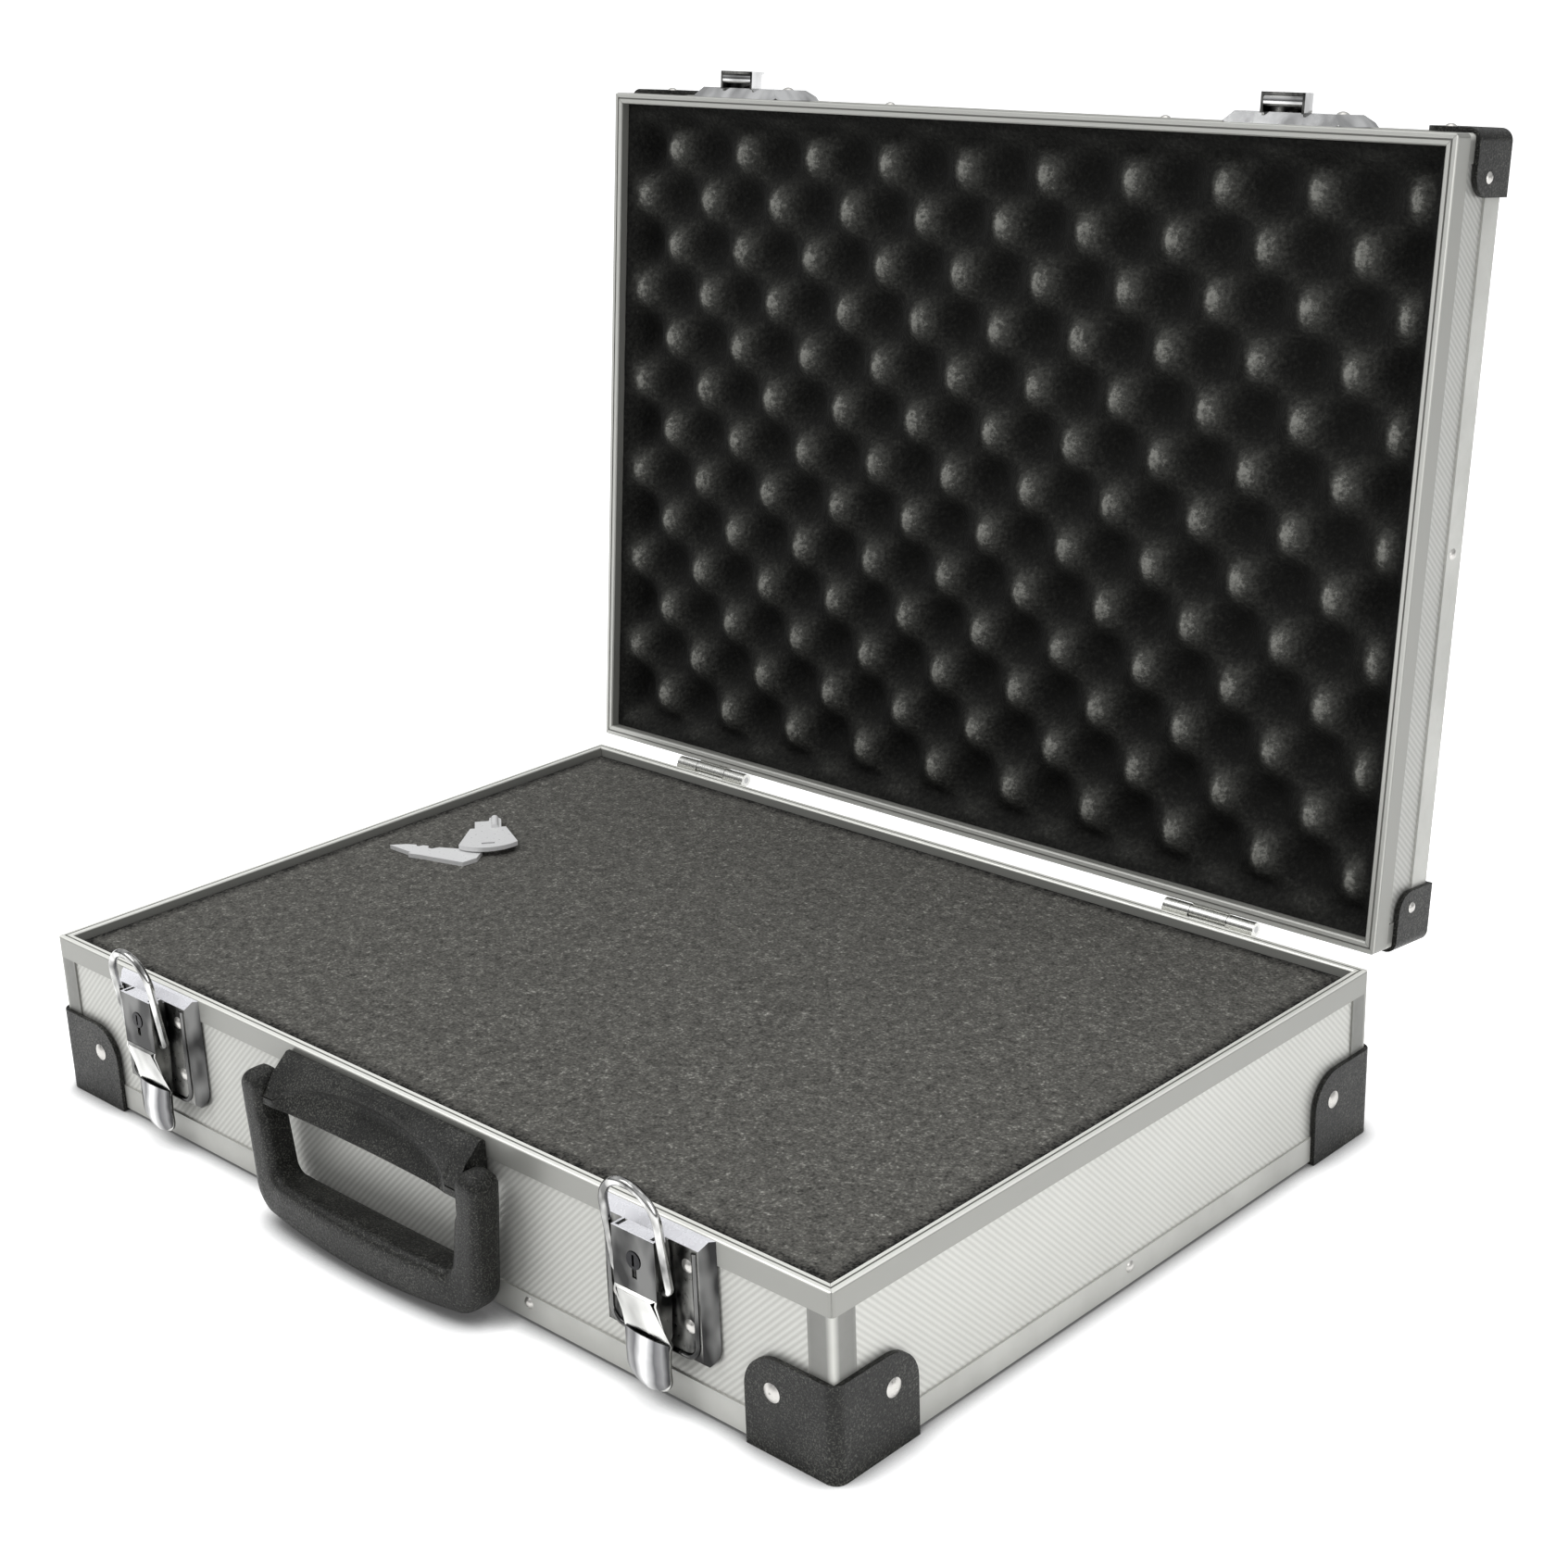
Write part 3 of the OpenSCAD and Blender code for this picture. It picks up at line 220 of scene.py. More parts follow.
class Mat(Nodes):
    """A material with one Principled shader."""

    def __init__(self, name, color, rough=0.5, metal=0.0, **extra):
        self.material = bpy.data.materials.new(name)
        self.material.use_nodes = True
        super().__init__(self.material.node_tree)
        self.shader = self.tree.nodes["Principled BSDF"]
        self.shader.inputs["Base Color"].default_value = color
        self.shader.inputs["Roughness"].default_value = rough
        self.shader.inputs["Metallic"].default_value = metal
        for key, value in extra.items():
            self.shader.inputs[key.replace("_", " ")].default_value = value
        self.coord = self.new("ShaderNodeTexCoord").outputs["Object"]

    def mapped(self, scale=(1, 1, 1)):
        node = self.new("ShaderNodeMapping")
        node.inputs["Scale"].default_value = scale
        self.link(self.coord, node.inputs["Vector"])
        return node.outputs["Vector"]

    def bump(self, *layers):
        """Layers are height, distance and strength, each laid on the one before."""
        normal = None
        for height, distance, strength in layers:
            node = self.new("ShaderNodeBump")
            node.inputs["Distance"].default_value = distance
            node.inputs["Strength"].default_value = strength
            self.link(height, node.inputs["Height"])
            if normal is not None:
                self.link(normal, node.inputs["Normal"])
            normal = node.outputs["Normal"]
        self.link(normal, self.shader.inputs["Normal"])

    def color(self, out):
        self.link(out, self.shader.inputs["Base Color"])

    def rough(self, out):
        self.link(out, self.shader.inputs["Roughness"])


def edge_distance(m, matrix, how="MINIMUM"):
    """Distance inwards from the outer walls of the base or the lid, whose own axes matrix gives."""
    turn = matrix.to_3x3()
    start = matrix.translation
    local = []
    for axis in (Vector((1, 0, 0)), Vector((0, 1, 0))):
        axis = (turn @ axis).normalized()
        local.append(m.math("SUBTRACT", m.dot(m.coord, axis), start.dot(axis)))
    x = m.math("SUBTRACT", WIDTH / 2, m.math("ABSOLUTE", local[0]))
    y = m.math("SUBTRACT", DEPTH / 2, m.math("ABSOLUTE", m.math("SUBTRACT", local[1], DEPTH / 2)))
    return m.math(how, x, y)


def flatness(m, matrix):
    """0 on faces that stand upright in the base's or the lid's own axes, 1 on faces that lie flat."""
    axis = (matrix.to_3x3() @ Vector((0, 0, 1))).normalized()
    up = m.dot(m.new("ShaderNodeNewGeometry").outputs["True Normal"], axis)
    return m.remap(m.math("ABSOLUTE", up), 0.3, 0.6, 0, 1)


def make_profile(name, dark, light, rough):
    """Extruded aluminium with a slow change of tone."""
    m = Mat(name, srgb(*light), rough, metal=0.25)
    grain = m.noise(m.mapped(), scale=420, detail=1)
    cloud = m.noise(m.mapped(), scale=18)
    m.color(m.ramp(cloud, [(0.3, srgb(*dark)), (0.7, srgb(*light))]))
    m.rough(m.remap(grain, 0.3, 0.7, rough * 0.85, rough * 1.2))
    return m.material


def make_rim(name, matrix, bead, groove, side):
    """Rim extrusion: painted highlights on its two beads, painted grey shade in the groove between them, and
    upright faces painted duller as shade.
    """
    m = Mat(name, srgb(214, 214, 208), 0.32, metal=0.3)
    cloud = m.noise(m.mapped(), scale=25)
    tone = m.math("ADD", edge_distance(m, matrix), m.drift(cloud, 0.08 * MM))
    # Painted shade: upright faces keep the dull side tone, and only faces that lie flat get the painted bead
    # highlights and groove shade.
    tone = m.math("MULTIPLY", tone, flatness(m, matrix))
    m.color(m.ramp(m.math("DIVIDE", tone, 6 * MM), [
        (0.025, srgb(*side)), (0.06, srgb(*bead)), (0.33, srgb(*bead)), (0.37, srgb(*groove)),
        (0.45, srgb(*groove)), (0.49, srgb(*bead)), (0.74, srgb(*bead)), (0.80, srgb(*side))]))
    return m.material


def make_post(name, matrix):
    """Corner extrusion: dull flanks and a painted highlight along its rounded edge."""
    m = Mat(name, srgb(140, 140, 135), 0.5, metal=0.2)
    grain = m.noise(m.mapped(), scale=420, detail=1)
    cloud = m.noise(m.mapped(), scale=30)
    tone = m.math("ADD", edge_distance(m, matrix, "MAXIMUM"), m.drift(cloud, 1.2 * MM))
    # Painted highlight: faces within about 2 mm of the corner edge are painted bright.
    m.color(m.ramp(m.math("DIVIDE", tone, 16 * MM), [
        (0.05, srgb(214, 214, 208)), (0.12, srgb(176, 176, 171)), (0.2, srgb(132, 132, 128)),
        (0.6, srgb(126, 126, 122)), (0.8, srgb(150, 150, 145))]))
    m.rough(m.remap(grain, 0.3, 0.7, 0.45, 0.55))
    return m.material


def make_panel(name, angle, axes, dark, light):
    """Satin board with fine slanting ribs, which run across the two coordinates that axes picks."""
    m = Mat(name, srgb(*light), 0.42, metal=0.35)
    place = m.split(m.coord)
    a, b = (place[i] for i in axes)
    along = m.math("ADD", m.math("MULTIPLY", a, math.cos(angle)), m.math("MULTIPLY", b, math.sin(angle)))
    wave = m.math("SINE", m.math("MULTIPLY", along, 2 * math.pi / RIB_PITCH))
    wave = m.remap(wave, -1, 1, 0, 1)
    cloud = m.noise(m.mapped(), scale=9)
    grain = m.noise(m.mapped(), scale=900, detail=2)
    tone = m.math("ADD", m.math("MULTIPLY", cloud, 0.55), m.math("MULTIPLY", wave, 0.45))
    m.color(m.ramp(tone, [(0.2, srgb(*dark)), (0.8, srgb(*light))]))
    m.rough(m.remap(grain, 0.3, 0.7, 0.36, 0.5))
    m.bump((wave, 0.1 * MM, 0.5), (grain, 0.03 * MM, 0.3))
    return m.material


def make_chrome(name, dark, light, rough, scale=70):
    """Plated sheet with painted reflections: its tone drifts in soft patches, as bright plating mirrors a
    room.
    """
    m = Mat(name, srgb(*light), rough, metal=1.0)
    patches = m.noise(m.mapped((1, 1, 0.45)), scale, detail=2)
    fine = m.noise(m.mapped(), scale=700)
    m.color(m.ramp(patches, [(0.38, srgb(*dark)), (0.6, srgb(*light))]))
    m.rough(m.remap(fine, 0.3, 0.7, rough * 0.75, rough * 1.3))
    m.bump((patches, 0.1 * MM, 0.1))
    return m.material


def make_tab():
    """The finger tab: a painted highlight down its middle, with painted shade towards both sides."""
    m = Mat("latch_tab_painted_highlight", srgb(200, 200, 202), 0.12, metal=1.0)
    x = m.split(m.coord)[0]
    off = m.math("ABSOLUTE", m.math("SUBTRACT", m.math("ABSOLUTE", x), LATCH_X))
    wobble = m.drift(m.noise(m.mapped(), scale=90, detail=2), 0.3)
    tone = m.math("ADD", m.remap(off, 0, TAB_HALF, 0, 1), wobble)
    # Painted highlight and shade: bright at the tab's middle, darker with distance from it.
    m.color(m.ramp(tone, [(0.0, srgb(236, 236, 236)), (0.22, srgb(176, 176, 177)), (0.45, srgb(92, 92, 94)),
                          (0.75, srgb(128, 128, 129)), (0.92, srgb(60, 60, 61))]))
    m.bump((m.noise(m.mapped(), scale=800, detail=2), 0.02 * MM, 0.2))
    return m.material


def make_steel(name, color, rough, bumpy, metal=1.0):
    """Plain or plated steel, one tone, with bumpy for how uneven it is."""
    m = Mat(name, srgb(*color), rough, metal)
    uneven = m.noise(m.mapped(), scale=45, detail=2)
    fine = m.noise(m.mapped(), scale=700)
    m.rough(m.remap(fine, 0.3, 0.7, rough * 0.75, rough * 1.3))
    m.bump((uneven, 0.25 * MM, bumpy), (fine, 0.02 * MM, 0.2))
    return m.material


def make_plastic(name, dark, light, speck, rough):
    """Moulded plastic with a fine grain and slightly paler specks."""
    m = Mat(name, srgb(*light), rough, metal=0.0, Specular_IOR_Level=0.22)
    grain = m.noise(m.mapped(), scale=1000, detail=2, rough=0.6)
    cloud = m.noise(m.mapped(), scale=45, detail=2)
    spots = m.noise(m.mapped(), scale=1500, detail=2, rough=0.6)
    tone = m.math("ADD", m.math("MULTIPLY", cloud, 0.2), m.math("MULTIPLY", spots, 0.8))
    m.color(m.ramp(tone, [(0.34, srgb(*dark)), (0.52, srgb(*light)), (0.7, srgb(*speck))]))
    m.rough(m.remap(grain, 0.35, 0.65, rough * 0.8, rough * 1.3))
    m.bump((grain, 0.14 * MM, 0.7))
    return m.material


def make_base_foam():
    """Speckled grey foam with painted shade that darkens it towards the rim around it."""
    m = Mat("base_foam", srgb(80, 79, 77), 0.95, metal=0.0, Specular_IOR_Level=0.12)
    cells = m.cells(m.mapped(), scale=620)
    blot = m.noise(m.mapped(), scale=330, detail=4, rough=0.75)
    specks = m.noise(m.mapped(), scale=900, detail=2, rough=0.5)
    tone = m.math("ADD", m.math("MULTIPLY", blot, 0.55), m.math("MULTIPLY", specks, 0.45))
    # Painted shade: the foam is darkened within 9 mm of the rim.
    edge = m.math("SUBTRACT", edge_distance(m, PLACE), FOAM_IN)
    tone = m.math("SUBTRACT", tone, m.remap(edge, 0, 9 * MM, 0.26, 0))
    m.color(m.ramp(tone, [(0.28, srgb(24, 24, 23)), (0.42, srgb(70, 69, 66)), (0.54, srgb(92, 91, 87)),
                          (0.6, srgb(112, 111, 106)), (0.68, srgb(158, 157, 151))]))
    m.bump((cells, 0.6 * MM, 0.7), (blot, 0.8 * MM, 0.4))
    return m.material


def make_lid_foam():
    """Painted shade in the valleys and painted highlights towards the tips, where the open cells would catch
    the light.
    """
    m = Mat("lid_foam", srgb(52, 52, 50), 0.95, metal=0.0, Specular_IOR_Level=0.1)
    cells = m.cells(m.mapped(), scale=560)
    blot = m.noise(m.mapped(), scale=480, detail=4, rough=0.8)
    depth = m.math("SUBTRACT", m.dot(m.coord, LID_UP), LID_ORIGIN.dot(LID_UP))
    # Painted highlight: the higher the foam stands, the paler it is painted.
    tip_highlight = m.remap(depth, BUMP_DROP + BUMP_H * 0.8, BUMP_DROP, 0, 1)
    tip_highlight = m.math("POWER", tip_highlight, 1.6)
    fade = FOAM_IN + 2 * MM
    # Painted shade: the tips are dimmed near the rim.
    rim_shade = m.remap(edge_distance(m, LID_PLACE), fade, fade + LID_EDGE, 0.12, 1)
    tip_highlight = m.math("MULTIPLY", tip_highlight, rim_shade)
    # Painted shade: slopes that face left are darkened.
    normal_x = m.split(m.new("ShaderNodeNewGeometry").outputs["Normal"])[0]
    tip_highlight = m.math("MULTIPLY", tip_highlight, m.remap(normal_x, -0.42, 0.02, 0.1, 1))
    shade = m.math("ADD", tip_highlight, m.drift(blot, 1.3))
    m.color(m.ramp(shade, [(0.0, srgb(24, 24, 23)), (0.3, srgb(40, 40, 38)), (0.7, srgb(70, 70, 67)),
                           (1.0, srgb(126, 126, 121))]))
    m.bump((cells, 0.7 * MM, 0.7))
    return m.material


# Lit and shaded copies of one ribbed panel: the side panels are painted a little lighter than the front, and
# the lid's side panels painted darker, as painted light and shade.
FRONT_TONES = ((176, 176, 171), (204, 204, 199))
SIDE_LIT_TONES = ((184, 184, 179), (208, 208, 203))
LID_SIDE_SHADED_TONES = ((164, 164, 160), (190, 190, 186))
RIB_ANGLE = math.radians(45)

MAT = {
    "profile": make_profile("profile_aluminium", (176, 176, 171), (202, 202, 197), 0.38),
    # The lid rim is a shaded copy of the base rim: the same painted bands, with its beads painted darker.
    "base_rim": make_rim("base_rim_painted_highlights", PLACE, (236, 236, 230), (134, 134, 129), (150, 150, 145)),
    "lid_rim": make_rim("lid_rim_painted_highlights", LID_PLACE, (190, 190, 185), (122, 122, 118), (146, 146, 141)),
    "base_post": make_post("base_post_painted_highlight", PLACE),
    "lid_post": make_post("lid_post_painted_highlight", LID_PLACE),
    "panel_front": make_panel("panel_front", -RIB_ANGLE, (0, 2), *FRONT_TONES),
    "panel_side_lit": make_panel("panel_side_lit", RIB_ANGLE, (1, 2), *SIDE_LIT_TONES),
    "panel_lid_side_shaded": make_panel("panel_lid_side_shaded", RIB_ANGLE, (1, 2), *LID_SIDE_SHADED_TONES),
    "panel_flat": make_panel("panel_flat", RIB_ANGLE, (0, 1), *FRONT_TONES),
    "protector": make_plastic("protector_black", (8, 8, 8), (32, 32, 30), (92, 92, 87), 0.4),
    "rivet": make_steel("rivet_steel", (196, 194, 190), 0.32, 0.0, 0.8),
    "steel": make_steel("plain_steel", (170, 170, 170), 0.3, 0.0),
    "hinge": make_steel("hinge_steel", (206, 206, 202), 0.28, 0.1),
    # Lit and shaded copies of one chrome, given to faces by zones(): latch is the bright painted reflection,
    # latch_mid a dimmer painted reflection, latch_dark painted shade, latch_top a painted highlight on upward
    # faces and flare the painted reflection on the lever's flare.
    "latch": make_chrome("latch_chrome", (166, 166, 166), (222, 222, 222), 0.1),
    "latch_mid": make_chrome("latch_chrome_mid_painted_reflection", (44, 44, 44), (106, 106, 105), 0.14, 80),
    "latch_dark": make_chrome("latch_chrome_painted_shade", (34, 34, 34), (136, 136, 133), 0.34, 130),
    "latch_top": make_profile("latch_top_painted_highlight", (218, 218, 222), (240, 240, 245), 0.26),
    "flare": make_chrome("flare_chrome_painted_reflection", (140, 140, 138), (206, 206, 203), 0.2, 60),
    "wire": make_chrome("bail_chrome", (104, 104, 103), (206, 206, 204), 0.16, 150),
    "latch_tab": make_tab(),
    "lock": make_steel("lock_chrome", (40, 40, 42), 0.3, 0.0),
    "key": make_steel("key_nickel", (216, 216, 216), 0.34, 0.05, 0.2),
    "plastic": make_plastic("handle_black", (8, 8, 8), (31, 31, 29), (88, 88, 83), 0.42),
    "base_foam": make_base_foam(),
    "lid_foam": make_lid_foam(),
}


# Helpers

def body_of(node):
    return frame["nodes"][node]["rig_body"]


def set_mat(obj, mat):
    obj.data.materials.clear()
    obj.data.materials.append(mat)


def add_object(name, mesh, mat):
    obj = bpy.data.objects.new(name, mesh)
    scene.collection.objects.link(obj)
    set_mat(obj, mat)
    return obj


def mesh_from(name, bm):
    mesh = bpy.data.meshes.new(name)
    bm.to_mesh(mesh)
    bm.free()
    return mesh


def smooth(obj, angle=30):
    for face in obj.data.polygons:
        face.use_smooth = True
    obj.data.set_sharp_from_angle(angle=math.radians(angle))


def apply_modifiers(obj):
    graph = bpy.context.evaluated_depsgraph_get()
    mesh = bpy.data.meshes.new_from_object(obj.evaluated_get(graph))
    obj.modifiers.clear()
    old = obj.data
    obj.data = mesh
    bpy.data.meshes.remove(old)


def dress(node, mat, width, angle):
    """A copy of a CAD node with its edges rounded, standing in for that node."""
    mesh = frame["nodes"][node].data.copy()
    obj = add_object("look_" + node, mesh, mat)
    bm = bmesh.new()
    bm.from_mesh(mesh)
    bmesh.ops.remove_doubles(bm, verts=bm.verts, dist=MERGE)
    bmesh.ops.dissolve_limit(bm, angle_limit=math.radians(1.0), verts=bm.verts, edges=bm.edges)
    bm.to_mesh(mesh)
    bm.free()
    bevel = obj.modifiers.new("round", "BEVEL")
    bevel.width = width
    bevel.segments = ROUND_SEGMENTS
    bevel.limit_method = "ANGLE"
    bevel.angle_limit = math.radians(angle)
    bevel.use_clamp_overlap = True
    apply_modifiers(obj)
    smooth(obj, KEEP_ANGLE)
    flat = obj.modifiers.new("flat", "WEIGHTED_NORMAL")
    flat.keep_sharp = True
    flat.weight = 100
    apply_modifiers(obj)
    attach(obj, body_of(node))
    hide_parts(node)
    return obj


def ring_loft(name, rings, mat, body, node, sharp):
    """Joins closed rings of points into one skin and caps both ends."""
    bm = bmesh.new()
    loops = [[bm.verts.new(p) for p in ring] for ring in rings]
    n = len(loops[0])
    for a, b in zip(loops, loops[1:]):
        for k in range(n):
            bm.faces.new((a[k], a[(k + 1) % n], b[(k + 1) % n], b[k]))
    bm.faces.new(loops[0][::-1])
    bm.faces.new(loops[-1])
    bmesh.ops.recalc_face_normals(bm, faces=bm.faces)
    obj = add_object(name, mesh_from(name, bm), mat)
    smooth(obj, sharp)
    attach(obj, body)
    if node:
        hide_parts(node)
    return obj


def squircle(n, power):
    """Points of a rounded square in the range -1 to 1."""
    points = []
    for k in range(n):
        t = 2 * math.pi * (k + 0.5) / n
        c, s = math.cos(t), math.sin(t)
        r = (abs(c) ** power + abs(s) ** power) ** (-1 / power)
        points.append((c * r, s * r))
    return points


def arc_points(cx, cz, r, a0, a1, n):
    return [(cx + r * math.cos(math.radians(a0 + (a1 - a0) * i / n)),
             cz + r * math.sin(math.radians(a0 + (a1 - a0) * i / n))) for i in range(n + 1)]


def along_line(a, b, n):
    return [(a[0] + (b[0] - a[0]) * i / n, a[1] + (b[1] - a[1]) * i / n) for i in range(1, n + 1)]


# CAD nodes that keep their shape

def finish_of(name):
    """The key in MAT for a CAD node, from the words in its name."""
    part = "lid" if name.startswith("lid") else "base"
    if "rivet" in name:
        return "rivet"
    if "protector" in name:
        return "protector"
    if name.endswith("_panel"):
        if "left" in name or "right" in name:
            return "panel_lid_side_shaded" if part == "lid" else "panel_side_lit"
        return "panel_flat" if "top" in name or "bottom" in name else "panel_front"
    if name in ("handle_grip", "handle_bracket", "handle_pivots"):
        return "plastic"
    if name in ("handle_screws", "latch_lever_pins", "hinge_pins"):
        return "steel"
    if name.startswith("latch_bail"):
        return "wire"
    if name.startswith("strike"):
        return "latch"
    for start in ("hinge", "lock", "latch", "key"):
        if name.startswith(start):
            return start
    if name.endswith("foam"):
        return name
    if "rim" in name:
        return part + "_rim"
    if "post" in name:
        return part + "_post"
    return "profile"


for name, obj in frame["nodes"].items():
    set_mat(obj, MAT[finish_of(name)])
    smooth(obj)


# Handle

def make_grip():
    """A bowed bar between two legs that end in round hubs, as rings from one hub to the other."""
    tilt = math.degrees(math.atan(EDGE_HALF / EDGE_R))
    outer = arc_points(0, GRIP_Z0 + EDGE_R, EDGE_R, -90, -90 + tilt, 12)
    outer += arc_points(CORNER_X, GRIP_Z0 + CORNER_UP, CORNER_R, -80, 0, 12)[1:]
    outer += along_line(outer[-1], (GRIP_HALF, GRIP_Z), 14)
    inner_x = GRIP_HALF - LEG_W
    inner = [(WINDOW_X * i / 12, WINDOW_Z) for i in range(13)]
    inner += arc_points(WINDOW_X, WINDOW_Z + WINDOW_R, WINDOW_R, -90, 0, 12)[1:]
    inner += along_line(inner[-1], (inner_x - PAD_IN, GRIP_Z - PAD_LOW), 8)
    inner += along_line(inner[-1], (inner_x, GRIP_Z - PAD_TOP), 2)
    inner += along_line(inner[-1], (inner_x, GRIP_Z), 4)
    shape = squircle(40, 4.2)
    half = []
    for (ox, oz), (ix, iz) in zip(outer, inner):
        lift = min(max((oz - BOW_FADE_Z) / BOW_FADE, 0), 1)
        bow = GRIP_BOW * max(1 - (ox / GRIP_HALF) ** 2, 0) * (1 - lift * lift * (3 - 2 * lift))
        front = -GRIP_FRONT - bow
        half.append([(ix + (ox - ix) * (u + 1) / 2, -GRIP_BACK + (front + GRIP_BACK) * (v + 1) / 2,
                      iz + (oz - iz) * (u + 1) / 2) for u, v in shape])
    hub_r, hub_y = (GRIP_FRONT - GRIP_BACK) / 2, -(GRIP_FRONT + GRIP_BACK) / 2
    leg_r = LEG_W / 2
    for k in range(1, 9):
        dz = leg_r * math.sin(math.pi / 2 * k / 8.35)
        hx, hy = math.sqrt(leg_r * leg_r - dz * dz), math.sqrt(hub_r * hub_r - dz * dz)
        half.append([(GRIP_HALF - leg_r + hx * u, hub_y - hy * v, GRIP_Z + dz) for u, v in shape])
    other = [[(-x, y, z) for x, y, z in ring] for ring in half[:0:-1]]
    ring_loft("handle_grip_moulded", [[PLACE @ Vector(p) for p in ring] for ring in other + half],
              MAT["plastic"], "handle", "handle_grip", sharp=60)


def make_bracket():
    """The housing between the handle's legs: a sloping roof that ends in an arched brow over a scoop."""
    rings = []
    steps = 80
    for i in range(steps + 1):
        x = -BRACKET_HALF + 2 * BRACKET_HALF * i / steps
        arch = max(1 - (x / ARCH_HALF) ** 2, 0) ** 0.6
        ry, rz = RIDGE_Y + ARCH_IN * arch, RIDGE_Z + ARCH_UP * arch
        ly, lz = LIP_Y + LIP_IN * arch, LIP_Z + LIP_UP * arch
        mid = ((ry + BRACKET_ROOF) / 2 - 0.6 * MM, (rz + BRACKET_Z1) / 2 + 0.7 * MM)
        points = [(BRACKET_BACK, BRACKET_Z0 - BRACKET_SKIRT), (BRACKET_BACK, BRACKET_Z1 - 1 * MM),
                  (-0.9 * MM, BRACKET_Z1), (BRACKET_ROOF, BRACKET_Z1), mid,
                  (ry + 0.9 * MM, rz + 0.5 * MM), (ry, rz), (ry + 0.5 * MM, rz - 0.9 * MM)]
        for t in (0.2, 0.35, 0.5, 0.65, 0.8, 0.92):
            scoop = SCOOP_DEPTH * arch * math.sin(math.pi * t ** 0.6)
            points.append((ry + (ly - ry) * t + scoop, rz + (lz - rz) * t))
        points += [(ly, lz), (ly + 1.4 * MM, BRACKET_Z0), (BRACKET_ROOF, BRACKET_Z0),
                   (-2.5 * MM, BRACKET_Z0 - BRACKET_SKIRT)]
        rings.append([PLACE @ Vector((x, y, z)) for y, z in points])
    ring_loft("handle_bracket_moulded", rings, MAT["plastic"], "base", "handle_bracket", sharp=32)


make_grip()
make_bracket()


# Pressed parts with rounded edges

# Tones of painted light, shade and reflection for the chrome faces
BRIGHT, MID, DARK, TOP, FLARE = range(5)
PAINTED_CHROME_TONES = (MAT["latch"], MAT["latch_mid"], MAT["latch_dark"], MAT["latch_top"], MAT["flare"])


def zones(obj, count, rule, matrix=PLACE):
    """Gives each face one of the first painted chrome tones, by its middle and normal in the base's or lid's
    own axes, so that light, shade and reflection are painted by where each face sits and faces.
    """
    obj.data.materials.clear()
    for mat in PAINTED_CHROME_TONES[:count]:
        obj.data.materials.append(mat)
    back_to_case = matrix.inverted()
    for face in obj.data.polygons:
        c = back_to_case @ face.center
        face.material_index = rule(abs(c.x) - LATCH_X, c.y, c.z, back_to_case.to_3x3() @ face.normal)


# Painted light on the lever: the lock box's top gets a painted highlight, sideways faces painted shade, the
# box's front a dim painted reflection, the flare a bright one and the flare's back painted shade.
def lever_zone(x, y, z, n):
    if z > LEVER_TOP_Z and n.z > 0.3:
        return TOP
    if abs(n.x) > 0.6:
        return DARK
    if z > FLARE_Z:
        return MID if n.y < -0.5 else DARK
    return FLARE if n.y < 0 else DARK


# Painted light on the latch plate: its top and upward faces get a painted highlight, its sides and foot a dim
# painted reflection, and its sunk middle painted shade.
def plate_zone(x, y, z, n):
    if z > PLATE_TOP_Z or n.z > 0.5:
        return TOP
    return MID if abs(x) > PLATE_SIDE_X or z < PLATE_FOOT_Z else DARK


# Painted light on the strike: hood faces turned down on the side towards the case's middle get a dim painted
# reflection, the slot before the hood is painted dark as shade, front faces get a dim painted reflection and
# the rest a bright one.
def strike_zone(x, y, z, n):
    if y >= HOOD_Y:
        return MID if x < STRIKE_SIDE_X and n.z < -0.1 else BRIGHT
    if abs(x) < SLOT_X and y > SLOT_Y:
        return DARK
    return MID if n.y < -0.7 else BRIGHT


# Painted light on the strike's nose: its tip a dim painted reflection, its rolled top a painted highlight and
# its back painted shade.
def nose_zone(x, y, z, n):
    if y < NOSE_TIP_Y:
        return MID
    return BRIGHT if y < NOSE_BACK_Y else DARK


for name in list(frame["nodes"]):
    if "rivet" in name or "pins" in name:
        continue
    if "protector" in name:
        dress(name, MAT["protector"], GUARD_ROUND, 30)
    elif name.startswith("latch_plate_"):
        zones(dress(name, MAT["latch"], PLATE_ROUND, 22), 4, plate_zone)
    elif name.startswith("latch_lever_"):
        zones(dress(name, MAT["latch"], LEVER_ROUND, 22), 5, lever_zone)
    elif name.startswith("strike_"):
        zones(dress(name, MAT["latch"], STRIKE_ROUND, 22), 3, strike_zone, LID_PLACE)


def make_tab_cap(side, middle):
    """The convex thumb plate over the lower end of the lever."""
    rows, cols = 18, 20
    bm = bmesh.new()
    grid = []
    for j in range(rows + 1):
        t = j / rows
        z = TAB_Z0 + (TAB_Z1 - TAB_Z0) * t
        low = min((z - TAB_Z0) / TAB_ROUND, 1)
        half = TAB_HALF * math.sqrt(max(1 - (1 - low) ** 2, 0.02))
        row = []
        for i in range(cols + 1):
            u = -1 + 2 * i / cols
            dome = TAB_DOME * (1 - u * u) * (low * (2 - low)) * (1 - 0.55 * max(t - 0.6, 0) / 0.4)
            row.append(bm.verts.new((middle + u * half, TAB_Y - dome, z)))
        grid.append(row)
    for j in range(rows):
        for i in range(cols):
            bm.faces.new((grid[j][i], grid[j][i + 1], grid[j + 1][i + 1], grid[j + 1][i]))
    mesh = mesh_from("latch_tab_" + side, bm)
    mesh.transform(PLACE)
    obj = add_object("latch_tab_" + side, mesh, MAT["latch_tab"])
    sheet = obj.modifiers.new("sheet", "SOLIDIFY")
    sheet.thickness = TAB_SHEET
    sheet.offset = -1
    apply_modifiers(obj)
    smooth(obj, 40)
    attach(obj, "lever_" + side)


